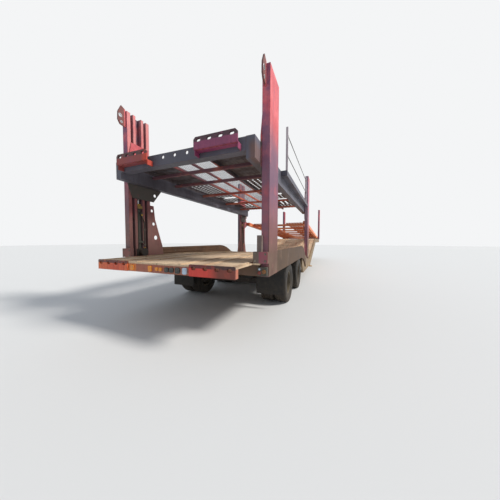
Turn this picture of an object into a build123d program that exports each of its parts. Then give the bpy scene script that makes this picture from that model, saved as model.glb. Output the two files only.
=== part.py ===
from build123d import *
import os
from math import atan2, cos, degrees, radians, sin

# Double-deck car transporter semi-trailer with a tandem axle, parked on its landing legs.
# Millimetres. +Y runs forward, +X to the right, +Z up. The origin is on the ground,
# on the centre line, halfway along the trailer.
# A station is a distance ahead of the rear faces of the rear posts.

# Driving dimensions
OVERALL_LENGTH = 13300
OVERALL_WIDTH = 2550
TAIL = 560                  # the ramp plates' reach behind the rear posts
POST_TOP = 3365

GIRDER_END = OVERALL_LENGTH - TAIL

# Guide posts
POST_STATIONS = {"rear": 0, "mid": 4500, "front": GIRDER_END - 520}
POST_DEPTH = 430
POST_WIDTH = 100
POST_WEB = 12
# Each rib of a post: where it starts and ends along the post's depth
POST_RIBS = ((0, 64), (112, 160), (266, 314), (366, POST_DEPTH))
CHANNEL_START = POST_RIBS[1][1]
CHANNEL_END = POST_RIBS[2][0]

# Lower deck
PLATE_THICK = 20            # ramp plates
DECK_REAR = PLATE_THICK - TAIL
DECK_HEIGHT = 955
WELL_HEIGHT = 520
GOOSENECK_HEIGHT = 1340
RAMP_TOP = GIRDER_END - 3840    # station where the front ramp meets the gooseneck
# Station and height of the walking surface
DECK_LINE = ((DECK_REAR, DECK_HEIGHT), (1200, DECK_HEIGHT), (3400, DECK_HEIGHT - 75),
             (3850, DECK_HEIGHT - 105), (5250, WELL_HEIGHT), (5900, WELL_HEIGHT),
             (RAMP_TOP, GOOSENECK_HEIGHT), (GIRDER_END, GOOSENECK_HEIGHT))
DECK_SHEET = 20
KERB_HEIGHT = 12
KERB_WIDTH = 36
KERB_PLACES = (350, 640, 1030)
TAIL_HALF_WIDTH = 1080
TAIL_BEAM_DEPTH = 60
TAIL_BEAM_HEIGHT = 102

# Side girders and fender bands
GIRDER_THICK = 50
GIRDER_START = 3500
GIRDER_KERB = 25
WELL_BOTTOM = 280
GOOSENECK_UNDERSIDE = 1150
NECK_START = RAMP_TOP + 200
BAND_THICK = 30
BAND_TOP = DECK_HEIGHT + 145
BAND_BOTTOM = DECK_HEIGHT - 172
BAND_BEND = 3000            # station where the band starts to fall
BAND_NOSE = 4150
BAND_NOSE_HEIGHT = 420

# Inner chassis rails
RAIL_INNER = 450
RAIL_THICK = 80
RAIL_BOTTOM = 690
RAIL_START = -350
RAIL_END = 4000

# Axles and wheels
AXLE_STATIONS = {"rear": 1650, "front": 2960}
TYRE_RADIUS = 395
TYRE_WIDTH = 245
TWIN_GAP = 30
TYRE_OUTER_FACE = 1235
RIM_RADIUS = 225
RIM_WALL = 12
HUB_RADIUS = 105
HUB_LENGTH = 200
HUB_OFFSET = 30             # the hub's middle lies this far outside the disc
CAP_RADIUS = 62
CAP_LENGTH = 30
SPINDLE_RADIUS = 34
AXLE_DEPTH = 128
DRUM_RADIUS = 165

# Upper rear deck
UPPER_FRONT = 4960
UPPER_TOP = 2450
SIDE_BEAM_BOTTOM = 2190
SIDE_BEAM_WIDTH = 110
POST_GAP = 15               # between a moving side beam and the inner plane of the posts
REAR_BEAM_FACE = -210
REAR_BEAM_FRONT = -90
TRACK_INNER = 360
TRACK_OUTER = 1000
TRACK_DEPTH = 60
TRACK_SHEET = 8
CROSS_DEPTH = 46
CROSS_WIDTH = 44
CROSS_STATIONS = (400, 980, 1950, 3150, 4250)
MESH_DROP = 20              # the mesh lies this far under the tracks' surface
MESH_THICK = 8
EDGE_DEPTH = 90
EDGE_GAP = 70               # between a post and the ledge along the deck's edge

# Carriages that run in the posts
CARRIAGE_PLATE = 10
SLIDE_CLEARANCE = 8
CARRIAGE_REACH = {"rear": 690, "mid": 590}
SHOE_TOP = UPPER_TOP + 430

# Lift cylinders
BARREL_RADIUS = 38
ROD_RADIUS = 20
FIT = 0.3                   # running clearance of rods, pins and spindles
BARREL_TOP = 1850
BARREL_FOOT = 120           # thickness of the closed foot of a barrel
ROD_BOTTOM = 1190
SEAT = 40                   # thickness of a block that a barrel stands on or hangs from

# Front platform: its own line falls forward from the pivot ahead of the mid posts
PIVOT_STATION = 5160
PIVOT_HEIGHT = 1900
ARM_HEIGHT = GOOSENECK_HEIGHT + 115     # the pins of the front lift, with the platform at rest
PLATFORM_TILT = 6           # degrees that the platform can rise
PLATFORM_NOSE = 185         # its reach ahead of the front cylinders
PLATFORM_DEPTH = 120
PLATFORM_TRACK_START = 300
PLATFORM_TRACK_DEPTH = 50
PIVOT_PIN_RADIUS = 28
ARM_PIN_RADIUS = 15

# Coupling
KINGPIN_STATION = GIRDER_END - 1290
# Radius and length of the shoulder, the neck and the flange, from the top down
KINGPIN_STEPS = ((36.5, 32), (25.4, 35), (35.7, 17))
KINGPIN_COLLAR = (62, 16)
COUPLING_PLATE = 12
COUPLING_BACK = 900         # the plate's reach behind and ahead of the pin
COUPLING_FRONT = 1000
COUPLING_HALF_WIDTH = 600

# Landing legs
LEG_STATION = RAMP_TOP - 1100
LEG_TUBE = 120
LEG_KNEE = 430
SHAFT_HEIGHT = 700

# Handrail on the right edge of the upper deck
RAIL_POSTS = (1270, 4330)
RAIL_TOP = 3270
ROPE_HEIGHTS = (2790, 3150)
ROPE_RADIUS = 8

ZERO = TAIL - OVERALL_LENGTH / 2        # where station 0 lies on Y
SIDE = OVERALL_WIDTH / 2
POST_INNER = SIDE - POST_WIDTH
BAND_INNER = SIDE - BAND_THICK
GIRDER_INNER = BAND_INNER - GIRDER_THICK
BEAM_OUTER = POST_INNER - POST_GAP
BEAM_INNER = BEAM_OUTER - SIDE_BEAM_WIDTH
CYLINDER_X = SIDE - POST_WEB - BARREL_RADIUS - 2

os.makedirs("parts", exist_ok=True)


def at(station):
    """The Y of a station."""
    return ZERO + station


def deck_z(station, drop=0):
    """Height of the lower deck's surface at a station, less a drop."""
    for (s0, z0), (s1, z1) in zip(DECK_LINE, DECK_LINE[1:]):
        if station <= s1:
            return z0 + (z1 - z0) * (station - s0) / (s1 - s0) - drop
    return DECK_LINE[-1][1] - drop


def deck_points(start, end, drop=0):
    """The deck's line between two stations, as (station, height) points."""
    inner = [s for s, _ in DECK_LINE if start < s < end]
    return [(s, deck_z(s, drop)) for s in [start] + inner + [end]]


def block(x0, x1, s0, s1, z0, z1):
    """A box between two corners, with stations along Y."""
    centre = ((x0 + x1) / 2, at((s0 + s1) / 2), (z0 + z1) / 2)
    return Pos(*centre) * Box(x1 - x0, s1 - s0, z1 - z0)


def side_plate(points, x0, x1):
    """A side outline of (station, height) points, thick from x0 to x1."""
    outline = [(at(s), z) for s, z in points]
    face = make_face(Polyline(*outline, close=True))
    return extrude(Plane.YZ.offset(x0) * face, x1 - x0)


def deck_strip(start, end, x0, x1, top=0, bottom=DECK_SHEET):
    """A strip that follows the lower deck's line, between two depths below its surface."""
    upper = deck_points(start, end, top)
    lower = deck_points(start, end, bottom)
    return side_plate(upper + lower[::-1], x0, x1)


def bar_x(x0, x1, station, z, radius):
    """A round bar along X."""
    return Pos((x0 + x1) / 2, at(station), z) * Rot(0, 90, 0) * Cylinder(radius, abs(x1 - x0))


def bar_z(x, station, z0, z1, radius):
    """A round bar that stands upright."""
    return Pos(x, at(station), (z0 + z1) / 2) * Cylinder(radius, z1 - z0)


def prism_x(x0, x1, station, z, radius, sides=12):
    """A many-sided bar along X, also used to cut lightening holes."""
    face = Plane((x0, at(station), z), x_dir=(0, 1, 0), z_dir=(1, 0, 0)) * RegularPolygon(radius, sides)
    return extrude(face, x1 - x0)


def mirrored(piece):
    """The same piece on the left side."""
    return mirror(piece, Plane.YZ)


def save(piece, name):
    """Writes one sub-part."""
    export_step(piece, f"parts/{name}.step")


def save_both(piece, name):
    """Writes a right-hand piece and its left-hand twin as one sub-part."""
    save(Compound(children=[piece, mirrored(piece)]), name)


def save_pair(piece, name):
    """Writes a right-hand piece and its left-hand twin."""
    save(piece, f"{name}_right")
    save(mirrored(piece), f"{name}_left")


def post(which, foot):
    """A guide post: an outer web with four upright ribs on its inner side."""
    start = POST_STATIONS[which]
    body = block(SIDE - POST_WEB, SIDE, start, start + POST_DEPTH, foot, POST_TOP)
    for rib_start, rib_end in POST_RIBS:
        body += block(POST_INNER, SIDE - POST_WEB, start + rib_start, start + rib_end, foot, POST_TOP)
    return body


GUSSET_THICK = 12
# Outline of the gusset ahead of a rear post: reach ahead of the post's front face, height
GUSSET_LINE = ((0, DECK_HEIGHT), (300, DECK_HEIGHT), (290, BAND_TOP), (110, 1640), (80, 1890), (0, 1890))
# Lightening holes of the gusset: reach, height, radius
GUSSET_HOLES = ((120, 1290, 42), (75, 1550, 32), (40, 1795, 28))
EAR_THICK = 20
EAR_INSET = 30
# Outline of the ear behind a rear post's head: reach behind the post, height below its top
EAR_LINE = ((0, 260), (95, 250), (130, 190), (125, 60), (70, -55), (0, -20))
# Eyes of the ear: reach, depth below the top, radius
EAR_EYES = ((88, 110, 30), (70, 205, 16))
FOOT_REACH = 60


def rear_post():
    """A post with its front gusset, its ear with two eyes, and its foot block."""
    body = post("rear", BAND_BOTTOM)
    gusset_outer = POST_INNER + GUSSET_THICK
    outline = [(POST_DEPTH + ahead, z) for ahead, z in GUSSET_LINE]
    gusset = side_plate(outline, POST_INNER, gusset_outer)
    for ahead, z, radius in GUSSET_HOLES:
        gusset -= prism_x(POST_INNER, gusset_outer, POST_DEPTH + ahead, z, radius)
    ear_inner = POST_INNER + EAR_INSET
    ear_outer = ear_inner + EAR_THICK
    ear = side_plate([(-behind, POST_TOP - drop) for behind, drop in EAR_LINE], ear_inner, ear_outer)
    for behind, drop, radius in EAR_EYES:
        ear -= prism_x(ear_inner, ear_outer, -behind, POST_TOP - drop, radius)
    foot_block = block(TAIL_HALF_WIDTH + 5, SIDE, -FOOT_REACH, 0, DECK_HEIGHT, BAND_TOP)
    return body + gusset + ear + foot_block


FLARE_REACH = 185
FLARE_TOP = 1400
LUG_THICK = 40
LUG_HALF = 180


def mid_post():
    """A post on the sloping girder, with flared feet, and the lug and pin that carry the platform."""
    start = POST_STATIONS["mid"]
    end = start + POST_DEPTH
    body = post("mid", deck_z(end, -GIRDER_KERB))
    for edge, outward in ((start, -1), (end, 1)):
        tip = edge + outward * FLARE_REACH
        outline = [(edge, deck_z(end)), (tip, deck_z(end)), (tip, deck_z(tip) + 120), (edge, FLARE_TOP)]
        body += side_plate(outline, GIRDER_INNER, GIRDER_INNER + GUSSET_THICK)
    lug = side_plate([(end, PIVOT_HEIGHT - LUG_HALF), (PIVOT_STATION, PIVOT_HEIGHT - 60),
                      (PIVOT_STATION + 60, PIVOT_HEIGHT), (PIVOT_STATION, PIVOT_HEIGHT + 60),
                      (end, PIVOT_HEIGHT + LUG_HALF)], POST_INNER, POST_INNER + LUG_THICK)
    body += lug + bar_x(BEAM_INNER, POST_INNER, PIVOT_STATION, PIVOT_HEIGHT, PIVOT_PIN_RADIUS)
    ground = [(start - 2 * FLARE_REACH, 0), (end + 2 * FLARE_REACH, 0)]
    girder_top = deck_points(ground[0][0], ground[1][0], -GIRDER_KERB)
    return body - side_plate(ground + girder_top[::-1], POST_INNER - 1, SIDE + 1)


def front_post():
    return post("front", GOOSENECK_HEIGHT + GIRDER_KERB)


# The side girders' underside: station, height
GIRDER_UNDERSIDE = ((3800, WELL_BOTTOM), (6050, WELL_BOTTOM), (NECK_START, GOOSENECK_UNDERSIDE),
                    (GIRDER_END, GOOSENECK_UNDERSIDE))
GIRDER_HEEL = 560
FLANGE_WIDTH = 90
FLANGE_THICK = 14


def girder_underside(station):
    """Height of the side girders' underside on the ramp."""
    (s0, z0), (s1, z1) = GIRDER_UNDERSIDE[1:3]
    return z0 + (z1 - z0) * (station - s0) / (s1 - s0)


def girder():
    """A side girder from behind the mid posts to the front end, with a flange along its underside."""
    top = deck_points(GIRDER_START, GIRDER_END, -GIRDER_KERB)
    outline = top + list(GIRDER_UNDERSIDE[::-1]) + [(GIRDER_START, GIRDER_HEEL)]
    upper_edge = [(s, z + FLANGE_THICK) for s, z in GIRDER_UNDERSIDE]
    flange_outline = list(GIRDER_UNDERSIDE) + upper_edge[::-1]
    flange = side_plate(flange_outline, GIRDER_INNER - FLANGE_WIDTH, GIRDER_INNER)
    return side_plate(outline, GIRDER_INNER, BAND_INNER) + flange


BAND_RIB = 10
BAND_RIB_DROPS = (120, 50)      # from the band's top edge down
BAND_NOSE_TOP = BAND_TOP - 440


def fender_band():
    """The band above the wheels, straight and then curved down ahead of them, with two long ribs."""
    rear = POST_DEPTH
    nose_low = (at(BAND_NOSE), BAND_NOSE_HEIGHT)
    nose_high = (at(BAND_NOSE), BAND_NOSE_TOP)
    top = Line((at(rear), BAND_TOP), (at(BAND_BEND), BAND_TOP))
    fall = ThreePointArc((at(BAND_BEND), BAND_TOP), (at(3680), BAND_TOP - 125), nose_high)
    front = Line(nose_high, nose_low)
    under = ThreePointArc(nose_low, (at(3850), BAND_BOTTOM - 183), (at(3080), BAND_BOTTOM))
    bottom = Line((at(3080), BAND_BOTTOM), (at(rear), BAND_BOTTOM))
    back = Line((at(rear), BAND_BOTTOM), (at(rear), BAND_TOP))
    face = make_face([top, fall, front, under, bottom, back])
    band = extrude(Plane.YZ.offset(BAND_INNER) * face, BAND_THICK)
    for drop in BAND_RIB_DROPS:
        low = BAND_TOP - drop
        band += block(BAND_INNER - BAND_RIB, BAND_INNER, rear + 290, BAND_BEND, low, low + 25)
    return band


def lower_deck(rows):
    """A stretch of the lower deck: rows of start, end and half width, with long kerb strips."""
    pieces = [deck_strip(start, end, -half, half) for start, end, half in rows]
    for place in KERB_PLACES:
        for centre in (-place, place):
            x0, x1 = centre - KERB_WIDTH / 2, centre + KERB_WIDTH / 2
            pieces.append(deck_strip(rows[0][0], rows[-1][1], x0, x1, top=-KERB_HEIGHT))
    return pieces[0].fuse(*pieces[1:])


def cross_member(station, half_width, depth, thick=80):
    """A cross member under the lower deck's sheet."""
    return deck_strip(station - thick / 2, station + thick / 2, -half_width, half_width, DECK_SHEET, depth)


def chassis_frame():
    """Inner rails over the axles with their cross members, and the bulkhead at the well."""
    top = deck_points(RAIL_START, RAIL_END, DECK_SHEET)
    outline = top + [(RAIL_END, 600), (3600, RAIL_BOTTOM), (200, RAIL_BOTTOM), (RAIL_START, 800)]
    frame = side_plate(outline, RAIL_INNER, RAIL_INNER + RAIL_THICK)
    frame += mirrored(frame)
    # transom between the rear posts
    frame += deck_strip(0, POST_DEPTH, -POST_INNER, POST_INNER, DECK_SHEET, DECK_HEIGHT - BAND_BOTTOM)
    for station in (850, 2305):
        frame += cross_member(station, BAND_INNER, 120)
    # bulkhead that hangs between the side girders
    frame += cross_member(RAIL_END + 45, GIRDER_INNER, 330, 90)
    return frame


def well_frame():
    """Cross members between the side girders under the well and the ramp."""
    return Compound(children=[cross_member(s, GIRDER_INNER, 110) for s in (4700, 5600, 6450, 7300, 8300)])


def gooseneck_frame():
    """Two rails and their cross members over the coupling."""
    start = NECK_START + 40
    end = GIRDER_END - 60
    top = GOOSENECK_HEIGHT - DECK_SHEET
    frame = block(RAIL_INNER, RAIL_INNER + RAIL_THICK, start, end, GOOSENECK_UNDERSIDE, top)
    frame += mirrored(frame)
    bays = 4
    for count in range(bays + 1):
        centre = start + 40 + count * (end - start - 80) / bays
        frame += block(-GIRDER_INNER, GIRDER_INNER, centre - 40, centre + 40, GOOSENECK_UNDERSIDE + 30, top)
    return frame


def coupling_plate():
    """The plate that rests on a tractor's coupling, with the hole for the pin's shoulder."""
    bottom = GOOSENECK_UNDERSIDE - COUPLING_PLATE
    plate = block(-COUPLING_HALF_WIDTH, COUPLING_HALF_WIDTH, KINGPIN_STATION - COUPLING_BACK,
                  KINGPIN_STATION + COUPLING_FRONT, bottom, GOOSENECK_UNDERSIDE)
    return plate - bar_z(0, KINGPIN_STATION, bottom, GOOSENECK_UNDERSIDE, KINGPIN_STEPS[0][0] + FIT)


def kingpin():
    """The coupling pin, turned in one piece with the collar that holds it above the plate."""
    shoulder = KINGPIN_STEPS[0][0]
    z = GOOSENECK_UNDERSIDE
    radius, height = KINGPIN_COLLAR
    pin = bar_z(0, KINGPIN_STATION, z, z + height, radius)
    pin += bar_z(0, KINGPIN_STATION, z - COUPLING_PLATE, z, shoulder)
    z -= COUPLING_PLATE
    for radius, length in KINGPIN_STEPS:
        pin += bar_z(0, KINGPIN_STATION, z - length, z, radius)
        z -= length
    return pin


SLOT_PITCH = 152
SLOT_LENGTH = 60
SLOT_HEIGHT = 35
SLOT_EDGE = 8               # between a slot's centre line and the plate's edge, above the slot's height
SLOT_COUNT = 4


def hook_plate(inner, width, rear, low, high, corner):
    """A plate across the tail with a row of slots for the loading ramps' hooks, its top corners cut."""
    half = width / 2
    height = high - low
    outline = [(-half, 0), (half, 0), (half, height - corner), (half - corner, height),
               (corner - half, height), (-half, height - corner)]
    sketch = make_face(Polyline(*outline, close=True))
    for count in range(SLOT_COUNT):
        place = (count - (SLOT_COUNT - 1) / 2) * SLOT_PITCH
        sketch -= Pos(place, height - SLOT_HEIGHT - SLOT_EDGE) * SlotOverall(SLOT_LENGTH, SLOT_HEIGHT)
    plane = Plane((inner + half, at(rear), low), x_dir=(-1, 0, 0), z_dir=(0, 1, 0))
    return extrude(plane * sketch, PLATE_THICK)


# Inner edge, width, rear face, low, high and corner of the ramp plates
LOWER_PLATE = (498, 582, -TAIL, DECK_HEIGHT - 122, DECK_HEIGHT + KERB_HEIGHT, 10)
UPPER_PLATE = (394, 598, -320, UPPER_TOP - 101, UPPER_TOP + 49, 28)


def upper_hook_plate():
    """An upper ramp plate on the shelf that holds it clear of the rear beam."""
    inner, width, rear, low, _, _ = UPPER_PLATE
    shelf = block(inner, inner + width, rear + PLATE_THICK, REAR_BEAM_FACE, low, low + 12)
    for edge in (inner, inner + width - 12):
        bracket = [(rear + PLATE_THICK, low - 60), (REAR_BEAM_FACE, low - 60), (REAR_BEAM_FACE, low),
                   (rear + PLATE_THICK, low)]
        shelf += side_plate(bracket, edge, edge + 12)
    return hook_plate(*UPPER_PLATE) + shelf


def rear_beam():
    """The beam across the tail behind the deck, and the two stubs that tie it to the rails."""
    top = DECK_HEIGHT - DECK_SHEET
    front = DECK_REAR + TAIL_BEAM_DEPTH
    beam = block(-TAIL_HALF_WIDTH, TAIL_HALF_WIDTH, DECK_REAR, front, top - TAIL_BEAM_HEIGHT, top)
    stub = block(RAIL_INNER, RAIL_INNER + RAIL_THICK, front, RAIL_START, top - TAIL_BEAM_HEIGHT + 7, top)
    return beam + stub + mirrored(stub)


MARKER_DEPTH = 14
# Markers on the tail beam between the plates: kind, centre on X, half width, half height
MARKERS = (("amber", -420, 30, 34), ("amber", -110, 26, 36), ("amber", 0, 20, 22), ("amber", 60, 20, 22),
           ("dark", 160, 30, 30), ("dark", 235, 30, 30), ("dark", 325, 34, 36), ("white", 430, 32, 38))


def markers(kind):
    """The small lamps and reflectors of one colour along the tail beam."""
    pieces = []
    height = DECK_HEIGHT - DECK_SHEET - TAIL_BEAM_HEIGHT / 2
    for colour, x, half_width, half_height in MARKERS:
        if colour == kind:
            face = Plane((x, at(DECK_REAR), height), x_dir=(1, 0, 0), z_dir=(0, -1, 0))
            sketch = face * RectangleRounded(2 * half_width, 2 * half_height, half_width * 0.6)
            pieces.append(extrude(sketch, MARKER_DEPTH))
    return Compound(children=pieces)


def tail_lamp():
    """A lamp cluster below a rear post's foot block."""
    return block(TAIL_HALF_WIDTH + 60, SIDE - 10, -FOOT_REACH, 0, DECK_HEIGHT - 155, DECK_HEIGHT - 45)


def valve_box():
    """The narrow box on the right rear foot block."""
    return block(POST_INNER - 38, POST_INNER + 22, -FOOT_REACH, 0, BAND_TOP, BAND_TOP + 205)


def tyre(centre):
    """One tyre about the X axis: side walls, shoulders and tread."""
    half = TYRE_WIDTH / 2
    bead = half - 30
    wall = TYRE_RADIUS - 30
    tread = half - 24
    outline = [(-bead, RIM_RADIUS), (-half, wall), (-tread, TYRE_RADIUS), (tread, TYRE_RADIUS),
               (half, wall), (bead, RIM_RADIUS)]
    ring = revolve(make_face(Polyline(*outline, close=True)), Axis.X)
    return Pos(centre, 0, 0) * ring


OUTER_TYRE = TYRE_OUTER_FACE - TYRE_WIDTH / 2
INNER_TYRE = OUTER_TYRE - TYRE_WIDTH - TWIN_GAP
DISC = (OUTER_TYRE + INNER_TYRE) / 2
DISC_HALF = 12
HAND_HOLES = 8
HAND_HOLE_CIRCLE = 160
HAND_HOLE_RADIUS = 28


def twin_tyres():
    return Compound(children=[tyre(OUTER_TYRE), tyre(INNER_TYRE)])


def twin_rims():
    """The rims of a twin wheel with the pierced disc, the hub and its cap, about the X axis."""
    reach = (OUTER_TYRE - INNER_TYRE) / 2 + TYRE_WIDTH / 2 - 30
    inner = RIM_RADIUS - RIM_WALL
    hub_in = HUB_OFFSET - HUB_LENGTH / 2
    hub_out = HUB_OFFSET + HUB_LENGTH / 2
    cap_out = hub_out + CAP_LENGTH
    bore = SPINDLE_RADIUS + FIT
    # half section from the inner rim's edge round the disc and the hub
    outline = [(-reach, inner), (-reach, RIM_RADIUS), (reach, RIM_RADIUS), (reach, inner),
               (DISC_HALF, inner), (DISC_HALF, HUB_RADIUS), (hub_out, HUB_RADIUS), (hub_out, CAP_RADIUS),
               (cap_out, CAP_RADIUS), (cap_out, 0), (hub_out, 0), (hub_out, bore), (hub_in, bore),
               (hub_in, HUB_RADIUS), (-DISC_HALF, HUB_RADIUS), (-DISC_HALF, inner)]
    wheel = revolve(make_face(Polyline(*outline, close=True)), Axis.X)
    for count in range(HAND_HOLES):
        face = Plane.YZ.offset(-DISC_HALF) * Rot(0, 0, count * 360 / HAND_HOLES) * Pos(HAND_HOLE_CIRCLE, 0)
        wheel -= extrude(face * RegularPolygon(HAND_HOLE_RADIUS, 6), 2 * DISC_HALF)
    return Pos(DISC, 0, 0) * wheel


def axle():
    """A square axle beam with its brake drums and spindles."""
    hub_inner = DISC + HUB_OFFSET - HUB_LENGTH / 2
    drum_outer = hub_inner - 12
    beam = Box(2 * drum_outer, AXLE_DEPTH, AXLE_DEPTH)
    for side in (-1, 1):
        drum = Plane.YZ.offset(side * (drum_outer - 100)) * RegularPolygon(DRUM_RADIUS, 20)
        beam += extrude(drum, side * 100)
        beam += Pos(side * (drum_outer + 75), 0, 0) * Rot(0, 90, 0) * Cylinder(SPINDLE_RADIUS, 150)
    return beam


SPRING_SEAT = 500
SPRING_RADIUS = 110
ARM_HALF = 30


def suspension():
    """Trailing arms and their hangers, one set for each end of each axle."""
    pieces = []
    middle = RAIL_INNER + RAIL_THICK / 2
    half = AXLE_DEPTH / 2
    under = TYRE_RADIUS + half
    for station in AXLE_STATIONS.values():
        hanger = [(station + 360, RAIL_BOTTOM), (station + 620, RAIL_BOTTOM), (station + 540, 400),
                  (station + 440, 400)]
        arm = [(station - 445, 470), (station - 445, SPRING_SEAT), (station - 205, SPRING_SEAT),
               (station - half, 530), (station + half, 530), (station + 460, 490), (station + 460, 430),
               (station + half, under), (station - half, under)]
        piece = side_plate(hanger, middle - ARM_HALF - 5, middle + ARM_HALF + 5)
        piece += side_plate(arm, middle - ARM_HALF, middle + ARM_HALF)
        pieces += [piece, mirrored(piece)]
    return Compound(children=pieces)


def air_springs():
    pieces = []
    middle = RAIL_INNER + RAIL_THICK / 2
    for station in AXLE_STATIONS.values():
        spring = bar_z(middle, station - 325, SPRING_SEAT, RAIL_BOTTOM, SPRING_RADIUS)
        pieces += [spring, mirrored(spring)]
    return Compound(children=pieces)


def upper_side_beam():
    """A side beam of the upper deck with the ledge that fills the gap between the posts."""
    beam = block(BEAM_INNER, BEAM_OUTER, REAR_BEAM_FACE, UPPER_FRONT, SIDE_BEAM_BOTTOM, UPPER_TOP)
    ledge_end = POST_STATIONS["mid"] - EDGE_GAP
    beam += block(BEAM_OUTER, SIDE - 5, RAIL_POSTS[0] - 185, ledge_end, UPPER_TOP - EDGE_DEPTH, UPPER_TOP)
    return beam


TRACK_MIDDLE = (TRACK_INNER + TRACK_OUTER) / 2
# Gaps that a car's wheels settle in: start and end station, half width
WHEEL_GAPS = ((2630, 2790, 180), (3290, 3450, 180))
# Long slots for the wheel straps: start and end station, places from the track's middle, half width
STRAP_SLOTS = (3700, 4180, (-140, 0, 140), 25)


def upper_track():
    """An inverted channel that carries one side's car wheels, with wheel gaps and strap slots."""
    low = UPPER_TOP - TRACK_DEPTH
    under = UPPER_TOP - TRACK_SHEET
    inner, outer = TRACK_INNER + TRACK_SHEET, TRACK_OUTER - TRACK_SHEET
    track = block(TRACK_INNER, TRACK_OUTER, REAR_BEAM_FRONT, UPPER_FRONT, low, UPPER_TOP)
    track -= block(inner, outer, REAR_BEAM_FRONT, UPPER_FRONT, low, under)
    for start, end, half in WHEEL_GAPS:
        track -= block(TRACK_MIDDLE - half, TRACK_MIDDLE + half, start, end, under, UPPER_TOP)
    start, end, places, half = STRAP_SLOTS
    for place in places:
        centre = TRACK_MIDDLE + place
        track -= block(centre - half, centre + half, start, end, under, UPPER_TOP)
    return track


def upper_cross_members():
    """Cross members under the tracks, and the three long bars that carry the mesh between them."""
    top = UPPER_TOP - TRACK_DEPTH
    mesh_under = UPPER_TOP - MESH_DROP - MESH_THICK
    grid = block(-15, 15, REAR_BEAM_FRONT, UPPER_FRONT, top, mesh_under)
    for side in (-1, 1):
        x0, x1 = sorted((side * (TRACK_INNER - 30), side * TRACK_INNER))
        grid += block(x0, x1, REAR_BEAM_FRONT, UPPER_FRONT, top, mesh_under)
    for station in CROSS_STATIONS:
        half = CROSS_WIDTH / 2
        grid += block(-BEAM_INNER, BEAM_INNER, station - half, station + half, top - CROSS_DEPTH, top)
    return grid


REAR_BEAM_LOW = UPPER_TOP - 165
REAR_BOX_HEIGHT = 85
LIP_THICK = 12
LIP_HOLES = (-205, 0, 205)
LIP_HOLE_DROP = 55


def upper_rear_beam():
    """The rear cross beam: a box with an upright lip that has a row of round holes."""
    lip_front = REAR_BEAM_FACE + LIP_THICK
    box_top = REAR_BEAM_LOW + REAR_BOX_HEIGHT
    beam = block(-BEAM_INNER, BEAM_INNER, REAR_BEAM_FACE, lip_front, REAR_BEAM_LOW, UPPER_TOP - 5)
    beam += block(-BEAM_INNER, BEAM_INNER, lip_front, REAR_BEAM_FRONT, REAR_BEAM_LOW, box_top)
    for x in LIP_HOLES:
        plane = Plane((x, at(REAR_BEAM_FACE), UPPER_TOP - LIP_HOLE_DROP), x_dir=(1, 0, 0), z_dir=(0, 1, 0))
        beam -= extrude(plane * RegularPolygon(23, 16), LIP_THICK)
    return beam


MESH_COLUMNS = 6
MESH_ROWS = 42
MESH_BAR = 14


def upper_mesh():
    """The mesh walkway between the tracks, as one sheet with a grid of openings."""
    width, length = 2 * TRACK_INNER, UPPER_FRONT - REAR_BEAM_FRONT
    across, along = width / MESH_COLUMNS, length / MESH_ROWS
    opening = Rectangle(across - MESH_BAR, along - MESH_BAR)
    sheet = Rectangle(width, length) - GridLocations(across, along, MESH_COLUMNS, MESH_ROWS) * opening
    bottom = UPPER_TOP - MESH_DROP - MESH_THICK
    return extrude(Pos(0, at((REAR_BEAM_FRONT + UPPER_FRONT) / 2), bottom) * sheet, MESH_THICK)


# Rear edge and foot of a carriage plate: reach ahead of the post's rear face, height above the deck
CARRIAGE_LINE = ((60, 430), (-20, 70), (-20, -270), (60, -490), (500, -490))
CARRIAGE_NOSE = (-250, 10)
CARRIAGE_HOLE = (530, 365, 30)      # reach, depth below the deck, radius


def carriage(which):
    """A tall plate on the side beam, curved down ahead of the post, and the shoe in the post's channel."""
    start = POST_STATIONS[which]
    reach = CARRIAGE_REACH[which]
    edge = [(start + ahead, rise) for ahead, rise in CARRIAGE_LINE]
    edge += [(start + reach, rise) for rise in CARRIAGE_NOSE]
    points = [(at(station), UPPER_TOP + rise) for station, rise in edge]
    crest_end = (at(start + 400), SHOE_TOP)
    curve = ThreePointArc(points[-1], (at(start + 470), UPPER_TOP + 130), crest_end)
    outline = [Polyline(*points), curve, Line(crest_end, points[0])]
    plate = extrude(Plane.YZ.offset(BEAM_OUTER) * make_face(outline), CARRIAGE_PLATE)
    ahead, drop, radius = CARRIAGE_HOLE
    plate -= prism_x(BEAM_OUTER, BEAM_OUTER + CARRIAGE_PLATE, start + ahead, UPPER_TOP - drop, radius)
    shoe = block(BEAM_OUTER, SIDE - POST_WEB - SLIDE_CLEARANCE, start + CHANNEL_START + SLIDE_CLEARANCE,
                 start + CHANNEL_END - SLIDE_CLEARANCE, SIDE_BEAM_BOTTOM, SHOE_TOP)
    return plate + shoe


def carriages():
    pieces = []
    for which in ("rear", "mid"):
        pair = carriage(which)
        pieces += [pair, mirrored(pair)]
    return Compound(children=pieces)


def channel_centre(which):
    return POST_STATIONS[which] + (CHANNEL_START + CHANNEL_END) / 2


def channel_block(which, z0, z1):
    """A block that fills a post's channel between two heights."""
    start = POST_STATIONS[which]
    return block(POST_INNER, SIDE - POST_WEB, start + CHANNEL_START, start + CHANNEL_END, z0, z1)


COLLAR_HEIGHT = 50
CLAMP_HEIGHT = 1190
PORT_DROP = 118             # from the barrel's head down to the port


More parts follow.
